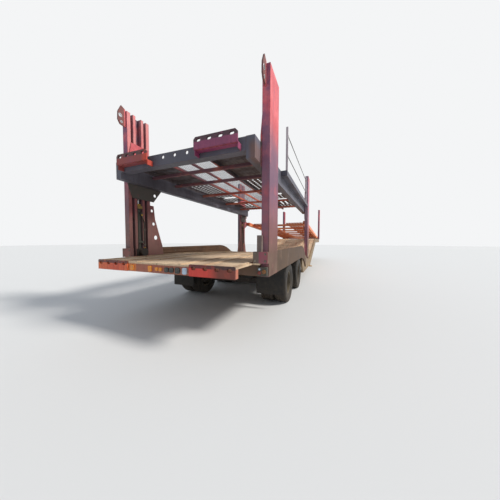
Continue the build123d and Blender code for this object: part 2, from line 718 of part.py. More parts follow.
def standing_barrel(which, foot):
    """A barrel that stands on a seat in a post's channel, with its head collar, port and clamp."""
    station = channel_centre(which)
    web = SIDE - POST_WEB
    port_top = BARREL_TOP - PORT_DROP
    barrel = bar_z(CYLINDER_X, station, foot, BARREL_TOP, BARREL_RADIUS)
    barrel += block(POST_INNER - 30, CYLINDER_X, station - 16, station + 16, port_top - 32, port_top)
    barrel += block(POST_INNER, web, station - 48, station + 48, BARREL_TOP - COLLAR_HEIGHT, BARREL_TOP)
    barrel += block(POST_INNER - 12, web, station - 52, station + 52, CLAMP_HEIGHT, CLAMP_HEIGHT + 36)
    barrel -= bar_z(CYLINDER_X, station, foot + BARREL_FOOT, BARREL_TOP, ROD_RADIUS + FIT)
    return barrel + channel_block(which, foot - SEAT, foot)


def lift_rods():
    """Rods of the rear deck's cylinders, up to the carriages' shoes."""
    pieces = []
    for which in ("rear", "mid"):
        rod = bar_z(CYLINDER_X, channel_centre(which), ROD_BOTTOM, SIDE_BEAM_BOTTOM, ROD_RADIUS)
        pieces += [rod, mirrored(rod)]
    return Compound(children=pieces)


WINCH_HEIGHT = DECK_HEIGHT + 75
WINCH_RADIUS = 58


def winches():
    """The small strap winch on the inner side of each rear post's foot."""
    station = POST_DEPTH / 2
    low, high = WINCH_HEIGHT - 60, WINCH_HEIGHT + 60
    body = prism_x(POST_INNER - 90, POST_INNER - 12, station, WINCH_HEIGHT, WINCH_RADIUS)
    body += block(POST_INNER - 12, POST_INNER, station - 90, station + 90, low, high)
    body += prism_x(POST_INNER - 100, POST_INNER - 90, station, WINCH_HEIGHT, WINCH_RADIUS + 14)
    return body


HANDRAIL_X = SIDE - 50
HANDRAIL_HALF = 18


def handrail_posts():
    pieces = []
    for station in RAIL_POSTS:
        stanchion = block(HANDRAIL_X - HANDRAIL_HALF, HANDRAIL_X + HANDRAIL_HALF, station - HANDRAIL_HALF,
                          station + HANDRAIL_HALF, UPPER_TOP, RAIL_TOP)
        base = block(HANDRAIL_X - 40, HANDRAIL_X + 40, station - 40, station + 40, UPPER_TOP, UPPER_TOP + 8)
        pieces.append(stanchion + base)
    return Compound(children=pieces)


def handrail_ropes():
    start, end = (station for station in RAIL_POSTS)
    pieces = []
    for z in ROPE_HEIGHTS:
        plane = Plane((HANDRAIL_X, at(start + HANDRAIL_HALF), z), x_dir=(1, 0, 0), z_dir=(0, 1, 0))
        pieces.append(extrude(plane * RegularPolygon(ROPE_RADIUS, 8), end - start - 2 * HANDRAIL_HALF))
    return Compound(children=pieces)


ARM_RUN = channel_centre("front") - PIVOT_STATION
PLATFORM_FALL = atan2(PIVOT_HEIGHT - ARM_HEIGHT, ARM_RUN)
ARM_REACH = ARM_RUN / cos(PLATFORM_FALL)
PLATFORM_LENGTH = ARM_REACH + PLATFORM_NOSE
ARM_RISE = ARM_REACH * (sin(radians(PLATFORM_TILT) - PLATFORM_FALL) + sin(PLATFORM_FALL))
PLATFORM_HALF = PLATFORM_DEPTH / 2


def on_platform(piece):
    """Lays a piece, drawn level ahead of the pivot, on the falling line of the platform."""
    return Pos(0, at(PIVOT_STATION), PIVOT_HEIGHT) * Rot(-degrees(PLATFORM_FALL), 0, 0) * piece


def level(x0, x1, y0, y1, z0, z1):
    """A box in the platform's own frame, whose origin is the pivot."""
    return Pos((x0 + x1) / 2, (y0 + y1) / 2, (z0 + z1) / 2) * Box(x1 - x0, y1 - y0, z1 - z0)


def platform_side_beam():
    """A side beam with the bore of the pivot and the slot that the lift's pin slides in."""
    beam = level(BEAM_INNER, BEAM_OUTER, -PLATFORM_HALF, PLATFORM_LENGTH, -PLATFORM_HALF, PLATFORM_HALF)
    beam -= Rot(0, 90, 0) * Cylinder(PIVOT_PIN_RADIUS + FIT, 2 * SIDE)
    play = ARM_PIN_RADIUS + 6
    beam -= level(BEAM_INNER, BEAM_OUTER, ARM_REACH - play - 25, ARM_REACH + play + 25, -play, play)
    return on_platform(beam)


PLATFORM_BAYS = 7


def platform_cross_members():
    """Cross members at even steps from the tracks' rear end to the platform's nose."""
    first = PLATFORM_TRACK_START + 30
    step = (PLATFORM_LENGTH - 40 - first) / PLATFORM_BAYS
    top = PLATFORM_HALF - PLATFORM_TRACK_DEPTH
    pieces = []
    for count in range(PLATFORM_BAYS + 1):
        place = first + count * step
        member = level(-BEAM_INNER, BEAM_INNER, place - 30, place + 30, -PLATFORM_HALF, top)
        pieces.append(on_platform(member))
    return Compound(children=pieces)


def platform_track():
    low = PLATFORM_HALF - PLATFORM_TRACK_DEPTH
    start, end = PLATFORM_TRACK_START, PLATFORM_LENGTH
    inner, outer = TRACK_INNER + TRACK_SHEET, TRACK_OUTER - TRACK_SHEET
    track = level(TRACK_INNER, TRACK_OUTER, start, end, low, PLATFORM_HALF)
    track -= level(inner, outer, start, end, low, PLATFORM_HALF - TRACK_SHEET)
    return on_platform(track)


HEAD_TOP = 40               # the rod head's reach above the pin
HEAD_BOTTOM = 36
HANGING_BARREL_BOTTOM = ARM_HEIGHT + HEAD_TOP + ARM_RISE + 20
HANGING_BARREL_TOP = POST_TOP - 60


def hanging_barrel():
    """A barrel that hangs from a seat in a front post, with its rod pointing down."""
    station = channel_centre("front")
    barrel = bar_z(CYLINDER_X, station, HANGING_BARREL_BOTTOM, HANGING_BARREL_TOP, BARREL_RADIUS)
    barrel -= bar_z(CYLINDER_X, station, HANGING_BARREL_BOTTOM, HANGING_BARREL_TOP - 60, ROD_RADIUS + FIT)
    return barrel + channel_block("front", HANGING_BARREL_TOP, POST_TOP)


def front_rods():
    """Rods of the front lift, each with a head and a pin that carries the platform."""
    station = channel_centre("front")
    inner = POST_INNER + 8
    outer = SIDE - POST_WEB - SLIDE_CLEARANCE
    low, high = ARM_HEIGHT - HEAD_BOTTOM, ARM_HEIGHT + HEAD_TOP
    rod = bar_z(CYLINDER_X, station, high - 10, HANGING_BARREL_BOTTOM + 100, ROD_RADIUS)
    head = block(inner, outer, station - 36, station + 36, low, high)
    whole = rod + head + bar_x(BEAM_INNER, inner, station, ARM_HEIGHT, ARM_PIN_RADIUS)
    return Compound(children=[whole, mirrored(whole)])


def lift_barrels():
    """The barrels of all six cylinders, closed at the foot, in the posts' channels."""
    pieces = [standing_barrel("rear", BAND_BOTTOM + SEAT), standing_barrel("mid", 790), hanging_barrel()]
    return Compound(children=pieces + [mirrored(piece) for piece in pieces])


def landing_leg():
    """An outer leg tube in a funnel bracket under the girder, the inner leg and its foot."""
    outer = GIRDER_INNER - FLANGE_WIDTH
    inner = outer - LEG_TUBE
    s0, s1 = LEG_STATION - LEG_TUBE / 2, LEG_STATION + LEG_TUBE / 2
    tube = block(inner, outer, s0, s1, LEG_KNEE, deck_z(s0, 2 * DECK_SHEET))
    leg = block(inner + 15, outer - 15, s0 + 15, s1 - 15, 20, LEG_KNEE)
    foot = block(inner - 70, outer + 70, s0 - 70, s1 + 70, 0, 20)
    rear, front = s0 - 110, s1 + 110
    knee = LEG_KNEE + 130
    bracket = side_plate([(rear, girder_underside(rear)), (front, girder_underside(front)), (s1 + 15, knee),
                          (s0 - 15, knee)], outer, outer + 12)
    return tube + leg + foot + bracket


def landing_shaft():
    inner = GIRDER_INNER - FLANGE_WIDTH - LEG_TUBE
    return prism_x(-inner, inner, LEG_STATION, SHAFT_HEIGHT, 18, 8)


FLAP_STATION = 1100


def mudflaps():
    flap = block(INNER_TYRE - TYRE_WIDTH / 2, TYRE_OUTER_FACE, FLAP_STATION - 4, FLAP_STATION + 4, 260,
                 deck_z(FLAP_STATION, DECK_SHEET))
    return Compound(children=[flap, mirrored(flap)])


TANK_RADIUS = 120
TANK_PLACE = 230
TANK_STATION = 3300
TANK_LENGTH = 700
TANK_HEIGHT = 600


def air_tank():
    """An air tank along the trailer, held to the inner rail by two straps."""
    centre = Pos(TANK_PLACE, at(TANK_STATION), TANK_HEIGHT)
    tank = centre * Rot(90, 0, 0) * Cylinder(TANK_RADIUS, TANK_LENGTH)
    top = TANK_HEIGHT + TANK_RADIUS
    for step in (-200, 200):
        station = TANK_STATION + step
        tank += block(TANK_PLACE, RAIL_INNER, station - 25, station + 25, top - 20, top)
    return tank


save_pair(rear_post(), "post_rear")
save_pair(mid_post(), "post_mid")
save_pair(front_post(), "post_front")
save_pair(girder(), "side_girder")
save_pair(fender_band(), "fender_band")
save(lower_deck(((DECK_REAR, -FOOT_REACH, TAIL_HALF_WIDTH), (-FOOT_REACH, POST_DEPTH, POST_INNER),
                 (POST_DEPTH, GIRDER_START, BAND_INNER))), "lower_deck_rear")
save(lower_deck(((GIRDER_START, RAMP_TOP, GIRDER_INNER),)), "lower_deck_well")
save(lower_deck(((RAMP_TOP, GIRDER_END, GIRDER_INNER),)), "gooseneck_deck")
save(chassis_frame(), "chassis_frame")
save(well_frame(), "well_cross_members")
save(gooseneck_frame(), "gooseneck_frame")
save(coupling_plate(), "coupling_plate")
save(kingpin(), "kingpin")
save(rear_beam(), "rear_beam")
save_both(hook_plate(*LOWER_PLATE), "lower_ramp_brackets")
save_both(tail_lamp(), "tail_lamps")
for colour in ("amber", "dark", "white"):
    save(markers(colour), f"tail_markers_{colour}")
save(valve_box(), "valve_box")
save_both(winches(), "strap_winches")
save(suspension(), "suspension_arms")
save(air_springs(), "air_springs")
save(mudflaps(), "mudflaps")
save_both(air_tank(), "air_tanks")
for name, station in AXLE_STATIONS.items():
    hub = Pos(0, at(station), TYRE_RADIUS)
    save(hub * axle(), f"axle_{name}")
    save_pair(hub * twin_tyres(), f"tyres_{name}")
    save_pair(hub * twin_rims(), f"wheel_{name}")
save_pair(upper_side_beam(), "upper_side_beam")
save_both(upper_track(), "upper_tracks")
save(upper_cross_members(), "upper_cross_members")
save(upper_rear_beam(), "upper_rear_beam")
save_both(upper_hook_plate(), "upper_ramp_brackets")
save(upper_mesh(), "upper_centre_mesh")
save(carriages(), "carriages")
save(lift_barrels(), "lift_barrels")
save(lift_rods(), "lift_rods")
save(handrail_posts(), "handrail_posts")
save(handrail_ropes(), "handrail_ropes")
save_pair(platform_side_beam(), "platform_side_beam")
save_both(platform_track(), "platform_tracks")
save(platform_cross_members(), "platform_cross_members")
save(front_rods(), "front_lift_rods")
save_pair(landing_leg(), "landing_leg")
save(landing_shaft(), "landing_shaft")
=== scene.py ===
from math import atan2, cos, pi, radians, sin

import bmesh
import bpy
from mathutils import Euler, Matrix, Vector


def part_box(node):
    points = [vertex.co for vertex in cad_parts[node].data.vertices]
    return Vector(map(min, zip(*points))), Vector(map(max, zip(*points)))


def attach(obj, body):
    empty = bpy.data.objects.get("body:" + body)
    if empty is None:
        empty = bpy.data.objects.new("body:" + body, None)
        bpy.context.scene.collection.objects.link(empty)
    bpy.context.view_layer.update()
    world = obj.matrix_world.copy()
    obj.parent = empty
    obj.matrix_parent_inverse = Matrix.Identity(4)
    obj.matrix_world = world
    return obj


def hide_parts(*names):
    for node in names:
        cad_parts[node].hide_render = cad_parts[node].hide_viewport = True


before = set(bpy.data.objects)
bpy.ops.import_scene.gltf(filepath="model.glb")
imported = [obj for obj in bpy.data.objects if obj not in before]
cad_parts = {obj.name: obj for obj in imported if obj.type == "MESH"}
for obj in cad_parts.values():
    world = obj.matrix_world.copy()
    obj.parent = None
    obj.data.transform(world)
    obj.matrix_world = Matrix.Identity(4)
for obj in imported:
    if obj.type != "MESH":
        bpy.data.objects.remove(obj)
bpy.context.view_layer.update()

MM = 0.001
BOTH = (-1, 1)              # the left and the right, as signs on X
REAR_POSTS = -6.090         # Y of the rear faces of the rear posts


def at(station):
    """Y of a station, in metres ahead of the rear posts."""
    return REAR_POSTS + station


# The camera stands behind the right rear corner, at chest height
EYE = Vector((1.977, at(-2.390), 1.238))
EYE_YAW = 21.8              # degrees to the left of the trailer's own line
EYE_PITCH = 2.67            # degrees below the horizon
EYE_ROLL = 0.22
FOCAL_PIXELS = 199.8        # of a picture 500 pixels wide
PICTURE_PIXELS = 500
SENSOR = 36.0


def in_scene(name, data):
    """A new object of the scene with this data."""
    item = bpy.data.objects.new(name, data)
    bpy.context.collection.objects.link(item)
    return item


def make_camera():
    data = bpy.data.cameras.new("camera")
    data.sensor_width = SENSOR
    data.lens = FOCAL_PIXELS / PICTURE_PIXELS * SENSOR
    data.clip_start, data.clip_end = 0.05, 200
    camera = in_scene("camera", data)
    camera.location = EYE
    aim = Euler((radians(90 - EYE_PITCH), 0, radians(EYE_YAW))).to_matrix()
    camera.rotation_euler = (aim @ Matrix.Rotation(radians(EYE_ROLL), 3, "Z")).to_euler()
    bpy.context.scene.camera = camera


make_camera()


def linear(hex_colour):
    """An sRGB hex colour as a linear RGBA tuple."""
    channels = [int(hex_colour[i:i + 2], 16) / 255 for i in (1, 3, 5)]
    return tuple(c / 12.92 if c <= 0.04045 else ((c + 0.055) / 1.055) ** 2.4 for c in channels) + (1.0,)


def add(tree, kind, inputs=(), **settings):
    """Adds a node with its settings; inputs pairs a socket with a value or another node's socket."""
    node = tree.nodes.new(kind)
    for key, value in settings.items():
        setattr(node, key, value)
    for socket, value in inputs:
        if isinstance(value, bpy.types.NodeSocket):
            tree.links.new(value, node.inputs[socket])
        else:
            node.inputs[socket].default_value = value
    return node


def new_material(name):
    material = bpy.data.materials.new(name)
    material.use_nodes = True
    tree = material.node_tree
    return material, tree, tree.nodes["Principled BSDF"]


def new_finish(name):
    """A new material, its tree and shader, and where each spot lies on its piece."""
    material, tree, shader = new_material(name)
    return material, tree, shader, add(tree, "ShaderNodeTexCoord").outputs["Object"]


def patches(tree, place, size_mm, low, high, most=1.0, crisp=0.6):
    """How far each spot is covered, from 0 to most, in patches of about size_mm. Most may be a cover."""
    cloud = add(tree, "ShaderNodeTexNoise", [
        ("Vector", place), ("Scale", 1000 / size_mm), ("Detail", 6.0), ("Roughness", crisp)]).outputs["Fac"]
    return add(tree, "ShaderNodeMapRange", [
        ("Value", cloud), ("From Min", low), ("From Max", high), ("To Max", most)],
        interpolation_type="SMOOTHSTEP").outputs["Result"]


RUN_LENGTH = 14             # a run of dirt is this many times as long as it is wide


def runs(tree, place, along, width_mm, low, high, most=1.0):
    """Streaks along an axis, as rain, dust and rolling tyres leave them."""
    scale = [1.0, 1.0, 1.0]
    scale["XYZ".index(along)] = 1 / RUN_LENGTH
    drawn = add(tree, "ShaderNodeMapping", [("Vector", place), ("Scale", scale)])
    return patches(tree, drawn.outputs["Vector"], width_mm, low, high, most)


def growing(tree, vector, axis, none_at, full_at, most=1.0):
    """A cover that grows with one part of a vector, as from one place in metres to another along an axis."""
    part = add(tree, "ShaderNodeSeparateXYZ", [("Vector", vector)]).outputs[axis]
    return add(tree, "ShaderNodeMapRange", [
        ("Value", part), ("From Min", none_at), ("From Max", full_at), ("To Max", most)]).outputs["Result"]


def turned_to(tree, axis, low, high, most=1.0):
    """How far a face is turned to an axis, from 0 to most; a negative low and high mean away from it."""
    return growing(tree, add(tree, "ShaderNodeNewGeometry").outputs["Normal"], axis, low, high, most)


def worn_edges(tree, rounded, place):
    """A broken line along outer edges, where knocks take the paint off first."""
    true_normal = add(tree, "ShaderNodeNewGeometry").outputs["Normal"]
    match = add(tree, "ShaderNodeVectorMath", [(0, rounded), (1, true_normal)], operation="DOT_PRODUCT")
    edge = add(tree, "ShaderNodeMapRange", [
        ("Value", match.outputs["Value"]), ("From Min", 0.995), ("From Max", 0.88)])
    return patches(tree, place, 40, 0.42, 0.60, edge.outputs["Result"])


def lay_over(tree, shader, ground, roughness, layers, relief=(), **settings):
    """Lays finishes over a ground colour, each given as its cover, colour and roughness, and adds a bump."""
    colour, dull = linear(ground), roughness
    for cover, over, over_roughness in layers:
        colour = add(tree, "ShaderNodeMix", [("Factor", cover), (6, colour), (7, linear(over))],
                     data_type="RGBA").outputs[2]
        dull = add(tree, "ShaderNodeMix", [("Factor", cover), (2, dull), (3, over_roughness)],
                   data_type="FLOAT").outputs[0]
    tree.links.new(colour, shader.inputs["Base Color"])
    tree.links.new(dull, shader.inputs["Roughness"])
    if relief:
        bump = add(tree, "ShaderNodeBump", relief, **settings)
        tree.links.new(bump.outputs["Normal"], shader.inputs["Normal"])


def weathered_enamel(name, fresh, faded, film="#4A3036", rust="#46281B", dust="#8E7B66", rear_film_and_shade=0.5,
                     dusty=0.5, splashed=0.0, chipped=0.6, run_axis="Z", rubbed_above=None, grimed=()):
    """Sprayed enamel left outdoors. The sun bleaches it in clouds, rain draws it down in runs, road film with
    painted shade darkens what looks to the rear, rust shows at knocked edges, and dust lies on ledges and low
    down.
    Each added grime, painted shade or light has its most, its colour and its ranges, and lies where all its
    ranges agree."""
    material, tree, shader, place = new_finish(name)
    rounded = add(tree, "ShaderNodeBevel", [("Radius", 8 * MM)], samples=4).outputs[0]
    chips = patches(tree, place, 52, 0.64, 0.70, chipped, 0.75)
    worn = worn_edges(tree, rounded, place)
    ledges = patches(tree, place, 150, 0.28, 0.58, turned_to(tree, "Z", 0.35, 0.9, dusty))
    splash = patches(tree, place, 190, 0.25, 0.62, growing(tree, place, "Z", 1.75, 0.5, splashed))
    # Road film and painted shade on faces turned to the rear
    rear_film_and_shade_cover = patches(tree, place, 260, 0.22, 0.60, turned_to(tree, "Y", -0.3, -0.9, rear_film_and_shade))
    layers = [(patches(tree, place, 430, 0.36, 0.66), faded, 0.62),
              (runs(tree, place, run_axis, 52, 0.46, 0.72, 0.45), faded, 0.66),
              (runs(tree, place, run_axis, 33, 0.50, 0.74, 0.50), film, 0.6),
              (rear_film_and_shade_cover, film, 0.62), (patches(tree, place, 24, 0.45, 0.80, 0.35, 0.7), film, 0.7)]
    # Added layers: grime, and in places painted shade and painted sunlight
    for cover, grime, *ranges in grimed:
        for axis, none_at, full_at in ranges:
            cover = growing(tree, place, axis, none_at, full_at, cover)
        layers.append((patches(tree, place, 330, 0.20, 0.48, cover), grime, 0.7))
    if rubbed_above:
        rub = growing(tree, place, "Z", rubbed_above, rubbed_above + 6 * MM, 0.85)
        layers.append((patches(tree, place, 60, 0.20, 0.50, rub), "#2B2024", 0.5))
    layers += [(chips, rust, 0.85), (worn, rust, 0.85), (ledges, dust, 0.92), (splash, dust, 0.92)]
    sunk = add(tree, "ShaderNodeMath", [(0, chips), (1, worn)], operation="MAXIMUM").outputs[0]
    lay_over(tree, shader, fresh, 0.42, layers, [
        ("Strength", 0.5), ("Distance", 0.7 * MM), ("Height", sunk), ("Normal", rounded)], invert=True)
    return material


def trodden_plate(name, steel, dust, pale, mud):
    """Rolled steel plate under dust that car tyres drag along it, with dark joints between the sheets."""
    material, tree, shader, place = new_finish(name)
    sheets = add(tree, "ShaderNodeTexBrick", [
        ("Vector", place), ("Scale", 1.0), ("Mortar Size", 5 * MM), ("Mortar Smooth", 0.3),
        ("Brick Width", 0.72), ("Row Height", 1.25)], offset=0.0).outputs["Fac"]
    drag = runs(tree, place, "Y", 70, 0.30, 0.60, 0.9)
    clouds = patches(tree, place, 560, 0.34, 0.66, 0.8)
    crust = patches(tree, place, 11, 0.40, 0.75, 0.5, 0.75)
    spills = patches(tree, place, 240, 0.60, 0.70, 0.55)
    height = add(tree, "ShaderNodeMath", [(0, crust), (1, drag)], operation="ADD").outputs[0]
    layers = [(drag, dust, 0.95), (clouds, pale, 0.97), (crust, mud, 0.95), (spills, mud, 0.8),
              (sheets, mud, 0.9)]
    lay_over(tree, shader, steel, 0.6, layers, [("Strength", 0.5), ("Distance", 2 * MM), ("Height", height)])
    return material


def soiled_steel(name, base, dirt, metallic, roughness, size_mm, cover, run_axis="Y"):
    """Bare, plated or chromed steel, bright where it is rubbed and dull under grease and dust."""
    material, tree, shader, place = new_finish(name)
    soil = patches(tree, place, size_mm, 0.38, 0.64, cover)
    drawn = runs(tree, place, run_axis, size_mm / 3, 0.45, 0.70, cover * 0.6)
    lay_over(tree, shader, base, roughness, [(drawn, dirt, 0.7), (soil, dirt, 0.85)])
    clean = add(tree, "ShaderNodeMapRange", [("Value", soil), ("To Min", metallic), ("To Max", 0.1)])
    tree.links.new(clean.outputs["Result"], shader.inputs["Metallic"])
    return material


def vulcanised_rubber(name, black, grey, dust, dusty):
    """Moulded rubber that ozone has greyed, with dust left in its grain and thickest low down."""
    material, tree, shader, place = new_finish(name)
    grain = patches(tree, place, 7, 0.30, 0.75, 1.0, 0.7)
    held = patches(tree, place, 7, 0.30, 0.75, dusty, 0.7)
    layers = [(patches(tree, place, 130, 0.36, 0.68, 0.6), grey, 0.8),
              (patches(tree, place, 85, 0.36, 0.70, held), dust, 0.95),
              (patches(tree, place, 40, 0.3, 0.6, growing(tree, place, "Z", 0.55, 0.0, dusty)), dust, 0.95)]
    lay_over(tree, shader, black, 0.68, layers,
             [("Strength", 0.35), ("Distance", 0.8 * MM), ("Height", grain)])
    return material


RIB_PITCH = 6 * MM          # of the ribs behind a lens; a wave's scale of 1 is 20 radians to the metre


def moulded_lens(name, base):
    """Injection-moulded acrylic with fine ribs behind a glossy face that dust clouds in spots."""
    material, tree, shader, place = new_finish(name)
    ribs = add(tree, "ShaderNodeTexWave", [("Vector", place), ("Scale", 2 * pi / (20 * RIB_PITCH))],
               bands_direction="X").outputs["Fac"]
    lay_over(tree, shader, base, 0.14, [(patches(tree, place, 30, 0.42, 0.72, 0.5), "#7A6A58", 0.7)],
             [("Strength", 0.4), ("Distance", 1 * MM), ("Height", ribs)])
    shader.inputs["IOR"].default_value = 1.49
    return material


# Ranges of grime: an axis, where it begins and where it is whole
LEFT_POSTS, RIGHT_POSTS = ("X", -0.5, -0.9), ("X", 0.5, 0.9)
REAR_PAIR = ("Y", at(1.2), at(0.8))
NOT_FRONT_PAIR = ("Y", at(8.0), at(6.0))
NOT_REAR_FACE = ("Y", at(0.002), at(0.010))
POST_SIDE, GIRDER_SIDE = ("X", 1.262, 1.272), ("X", 1.24, 1.27)
FOOT_FACE, FOOT_HEIGHT = ("Y", at(-0.050), at(-0.058)), ("Z", 1.15, 1.12)


def in_channels(side):
    """Deep between the ribs of one side's posts, but not on their outer or rear faces."""
    return ("X", side * 1.200, side * 1.245), ("X", side * 1.274, side * 1.267), NOT_REAR_FACE


# Sprayed red enamel: pink high up, painted shade in greyish maroon lower down, and road film with painted
# shade to the rear. Each layer goes over the ones before it.
POST_RED = weathered_enamel(
    "sprayed red enamel, bleached pink", "#C83A40", "#E8787A", film="#62486A", rear_film_and_shade=0.85, splashed=0.35,
    # Painted shade in greyish maroon, lower down on every post
    grimed=((0.6, "#70545E", ("Z", 2.90, 2.10)),
            # Painted shadow in mauve mid-height on the right rear post's outer side, painted haze on the post
            # ahead
            (0.7, "#544E66", POST_SIDE, REAR_PAIR, ("Z", 2.72, 2.38), ("Z", 1.10, 1.95)),
            (0.5, "#A296A4", RIGHT_POSTS, ("Y", at(2.2), at(4.2)), NOT_FRONT_PAIR, ("Z", 1.50, 2.20)),
            # On the left, ribs paler above as painted sunlight, grey-brown below as painted shade and haze
            (0.45, "#DCA79E", LEFT_POSTS, REAR_PAIR, NOT_REAR_FACE, ("Z", 2.42, 2.60)),
            (0.55, "#6E6152", LEFT_POSTS, ("Z", 2.30, 1.60)),
            # Painted shade: dark violet deep in the channels between the ribs
            (0.85, "#463C52", *in_channels(-1)), (0.85, "#463C52", *in_channels(1), REAR_PAIR),
            # Outer sides: brown, dust with painted shadow; feet: grey and red on the right block, red-brown
            # on the left one
            (0.9, "#483424", POST_SIDE, ("Z", 1.80, 1.05)),
            (0.8, "#5E574C", ("X", 0.9, 1.0), ("X", 1.168, 1.156), FOOT_FACE),
            (0.65, "#9E4254", ("X", 1.156, 1.168), FOOT_FACE, FOOT_HEIGHT),
            (0.6, "#8C4640", ("X", -1.00, -1.05), FOOT_FACE, FOOT_HEIGHT),
            # A rusty brown on the ears behind the heads
            (0.85, "#5A4038", ("Y", at(-0.010), at(-0.030)), ("Z", 3.00, 3.06))))
# The same red as a purple maroon, grime with painted shade: rusty on the left plate and orange at its inner
# end, with a rubbed black rim where ramps hook in
DECK_RED = weathered_enamel(
    "sprayed red enamel, maroon with painted shade", "#86325A", "#A0506E", film="#4A2A48", rear_film_and_shade=0.4, rubbed_above=2.437,
    grimed=((0.75, "#8E4634", ("X", -0.28, -0.38)),
            (0.75, "#C8462E", ("X", -0.50, -0.44), ("X", -0.28, -0.34))))
# Touched up twice: orange on the left plate, redder on the right one, whose outer third is worn to brown
TAIL_RED = weathered_enamel(
    "sprayed orange-red enamel, scuffed", "#DC5230", "#F4844E", film="#5A2A22", rear_film_and_shade=0.25,
    chipped=0.8, rubbed_above=0.925,
    grimed=((0.75, "#D0363A", ("X", 0.0, 0.2)), (0.85, "#5C3A30", ("X", 0.74, 0.88))))
# The tail beam: red gone brown under dust and splashes, with a touch of orange beside the left plate
TAIL_BROWN = weathered_enamel(
    "sprayed enamel under tail grime", "#A8523C", "#BC6E56", film="#5A3428", rear_film_and_shade=0.25, dusty=0.8,
    splashed=0.4, grimed=((0.85, "#E07C38", ("X", -0.352, -0.360), ("X", -0.56, -0.50)),))
# Dark enamel: a slate grey with a plum tint, browned by dust on top, rusty at the right rear corner
BEAM_DARK = weathered_enamel(
    "sprayed dark enamel, grimed", "#4A4852", "#64636E", film="#41424E", dust="#6E6054", rust="#6A4024",
    dusty=0.55, grimed=((0.45, "#7A4C2E", ("X", 1.07, 1.12), ("Y", at(0.15), at(0.0)), ("Z", 2.42, 2.33)),))
# The carriages' crests keep the posts' red; below the deck they are as dark as its beams
CARRIAGE_RED = weathered_enamel(
    "sprayed red enamel, dark below", "#B4383E", "#D8686C", film="#633E58",
    grimed=((1.0, "#534F4B", ("Z", 2.50, 2.44)),))
# Grey enamel with the post's red sprayed over it in places: a warm light grey
RAIL_GREY = weathered_enamel(
    "brushed grey enamel, handrail", "#BDB3B7", "#D2CACC", film="#9A8C92", rust="#70483A", rear_film_and_shade=0.2,
    dusty=0.3)
# The valve box: a dull grey that road dust has browned
BOX_GREY = weathered_enamel(
    "brushed grey-brown enamel, box", "#6A5C56", "#83746C", film="#4E4240", dusty=0.6)
# Orange enamel: salmon where it is bleached; painted shade darkens the cross members to maroon towards the
# tail
CROSS_ORANGE = weathered_enamel(
    "sprayed orange enamel, bleached", "#C24E36", "#E88668", film="#5A2C2A", rear_film_and_shade=0.5,
    dusty=0.2, run_axis="X", grimed=((0.9, "#563E4A", ("Y", at(2.4), at(1.0))),))
# The platform's brighter orange is painted sunlight
PLATFORM_ORANGE = weathered_enamel(
    "sprayed orange enamel, sunlit", "#D8653A", "#F8A874", film="#7E4630", rear_film_and_shade=0.2, dusty=0.3,
    run_axis="Y")
# Primer and enamel caked with dried dust: a dull brown with darker runs; on the right, painted shade makes it
# nearly black at the rear end, and painted sunlight ochre ahead of the middle post
GIRDER_BROWN = weathered_enamel(
    "sprayed enamel, dust-caked", "#62503A", "#86705A", film="#453526", dust="#A08A68", dusty=0.8,
    splashed=0.5, grimed=((0.8, "#3E2A16", GIRDER_SIDE, ("Y", at(1.2), at(0.6))),
                          (0.5, "#98733C", GIRDER_SIDE, ("Y", at(4.6), at(5.4)))))
# The fender bands: the same brown, the right one darker with painted shade
BAND_BROWN = weathered_enamel(
    "rolled band, dust-caked enamel", "#5E432E", "#785A42", film="#3C2A1E", dust="#87694A",
    dusty=0.9, splashed=0.2, chipped=0.3, grimed=((0.8, "#2E1C0C", ("X", 1.20, 1.25)),))
# Chassis black: a soft near-black that greys towards the road, brown on the transom's rear face
UNDER_DARK = weathered_enamel(
    "brushed chassis black, dusty", "#242120", "#35302C", film="#181514", dust="#5E5144",
    rust="#3E261A", dusty=0.6, splashed=0.35, grimed=((0.85, "#6A5040", ("Y", at(0.03), at(0.004))),))
# Yellow enamel on the landing legs: bright on top, scuffed to ochre near the ground
LEG_YELLOW = weathered_enamel(
    "sprayed yellow enamel, worn", "#CC9230", "#E2B45E", film="#7A5A30", dusty=0.3, splashed=0.3)
# Baked enamel on the rims: an even grey that the road has dulled
RIM_GREY = weathered_enamel(
    "baked grey enamel, road-dulled", "#57524C", "#706A61", film="#332E2A", dust="#75674F", splashed=0.5)
# Oily enamel on cylinders, pipes and tanks: a greenish black, yellow-olive at the standing cylinders' collars
BARREL_BLACK = weathered_enamel(
    "oily black enamel, cylinders", "#33362F", "#4A4D45", film="#1E201D", dust="#6B6152",
    rust="#3E2A1C", splashed=0.4, grimed=((0.9, "#967C42", ("Z", 1.796, 1.801), NOT_FRONT_PAIR),))
# Lower deck: dull tan with long drag marks, darker at the joints
DECK_TAN = trodden_plate("rolled steel plate, trodden dust", "#8C7460", "#D0B08E", "#E6CBA8", "#665240")
# Pressed and galvanised steel: a soft grey sheen that rust and dust take away in patches
TRACK_ZINC = soiled_steel("pressed galvanised steel, tracks", "#6C666A", "#43383A", 0.55, 0.5, 120, 0.7)
TRACK_RUST = soiled_steel("pressed steel, rust-tinted", "#C47850", "#7E5036", 0.15, 0.75, 140, 0.5)
MESH_ZINC = soiled_steel("galvanised expanded steel", "#8E97A4", "#6E6A66", 0.5, 0.45, 80, 0.4)
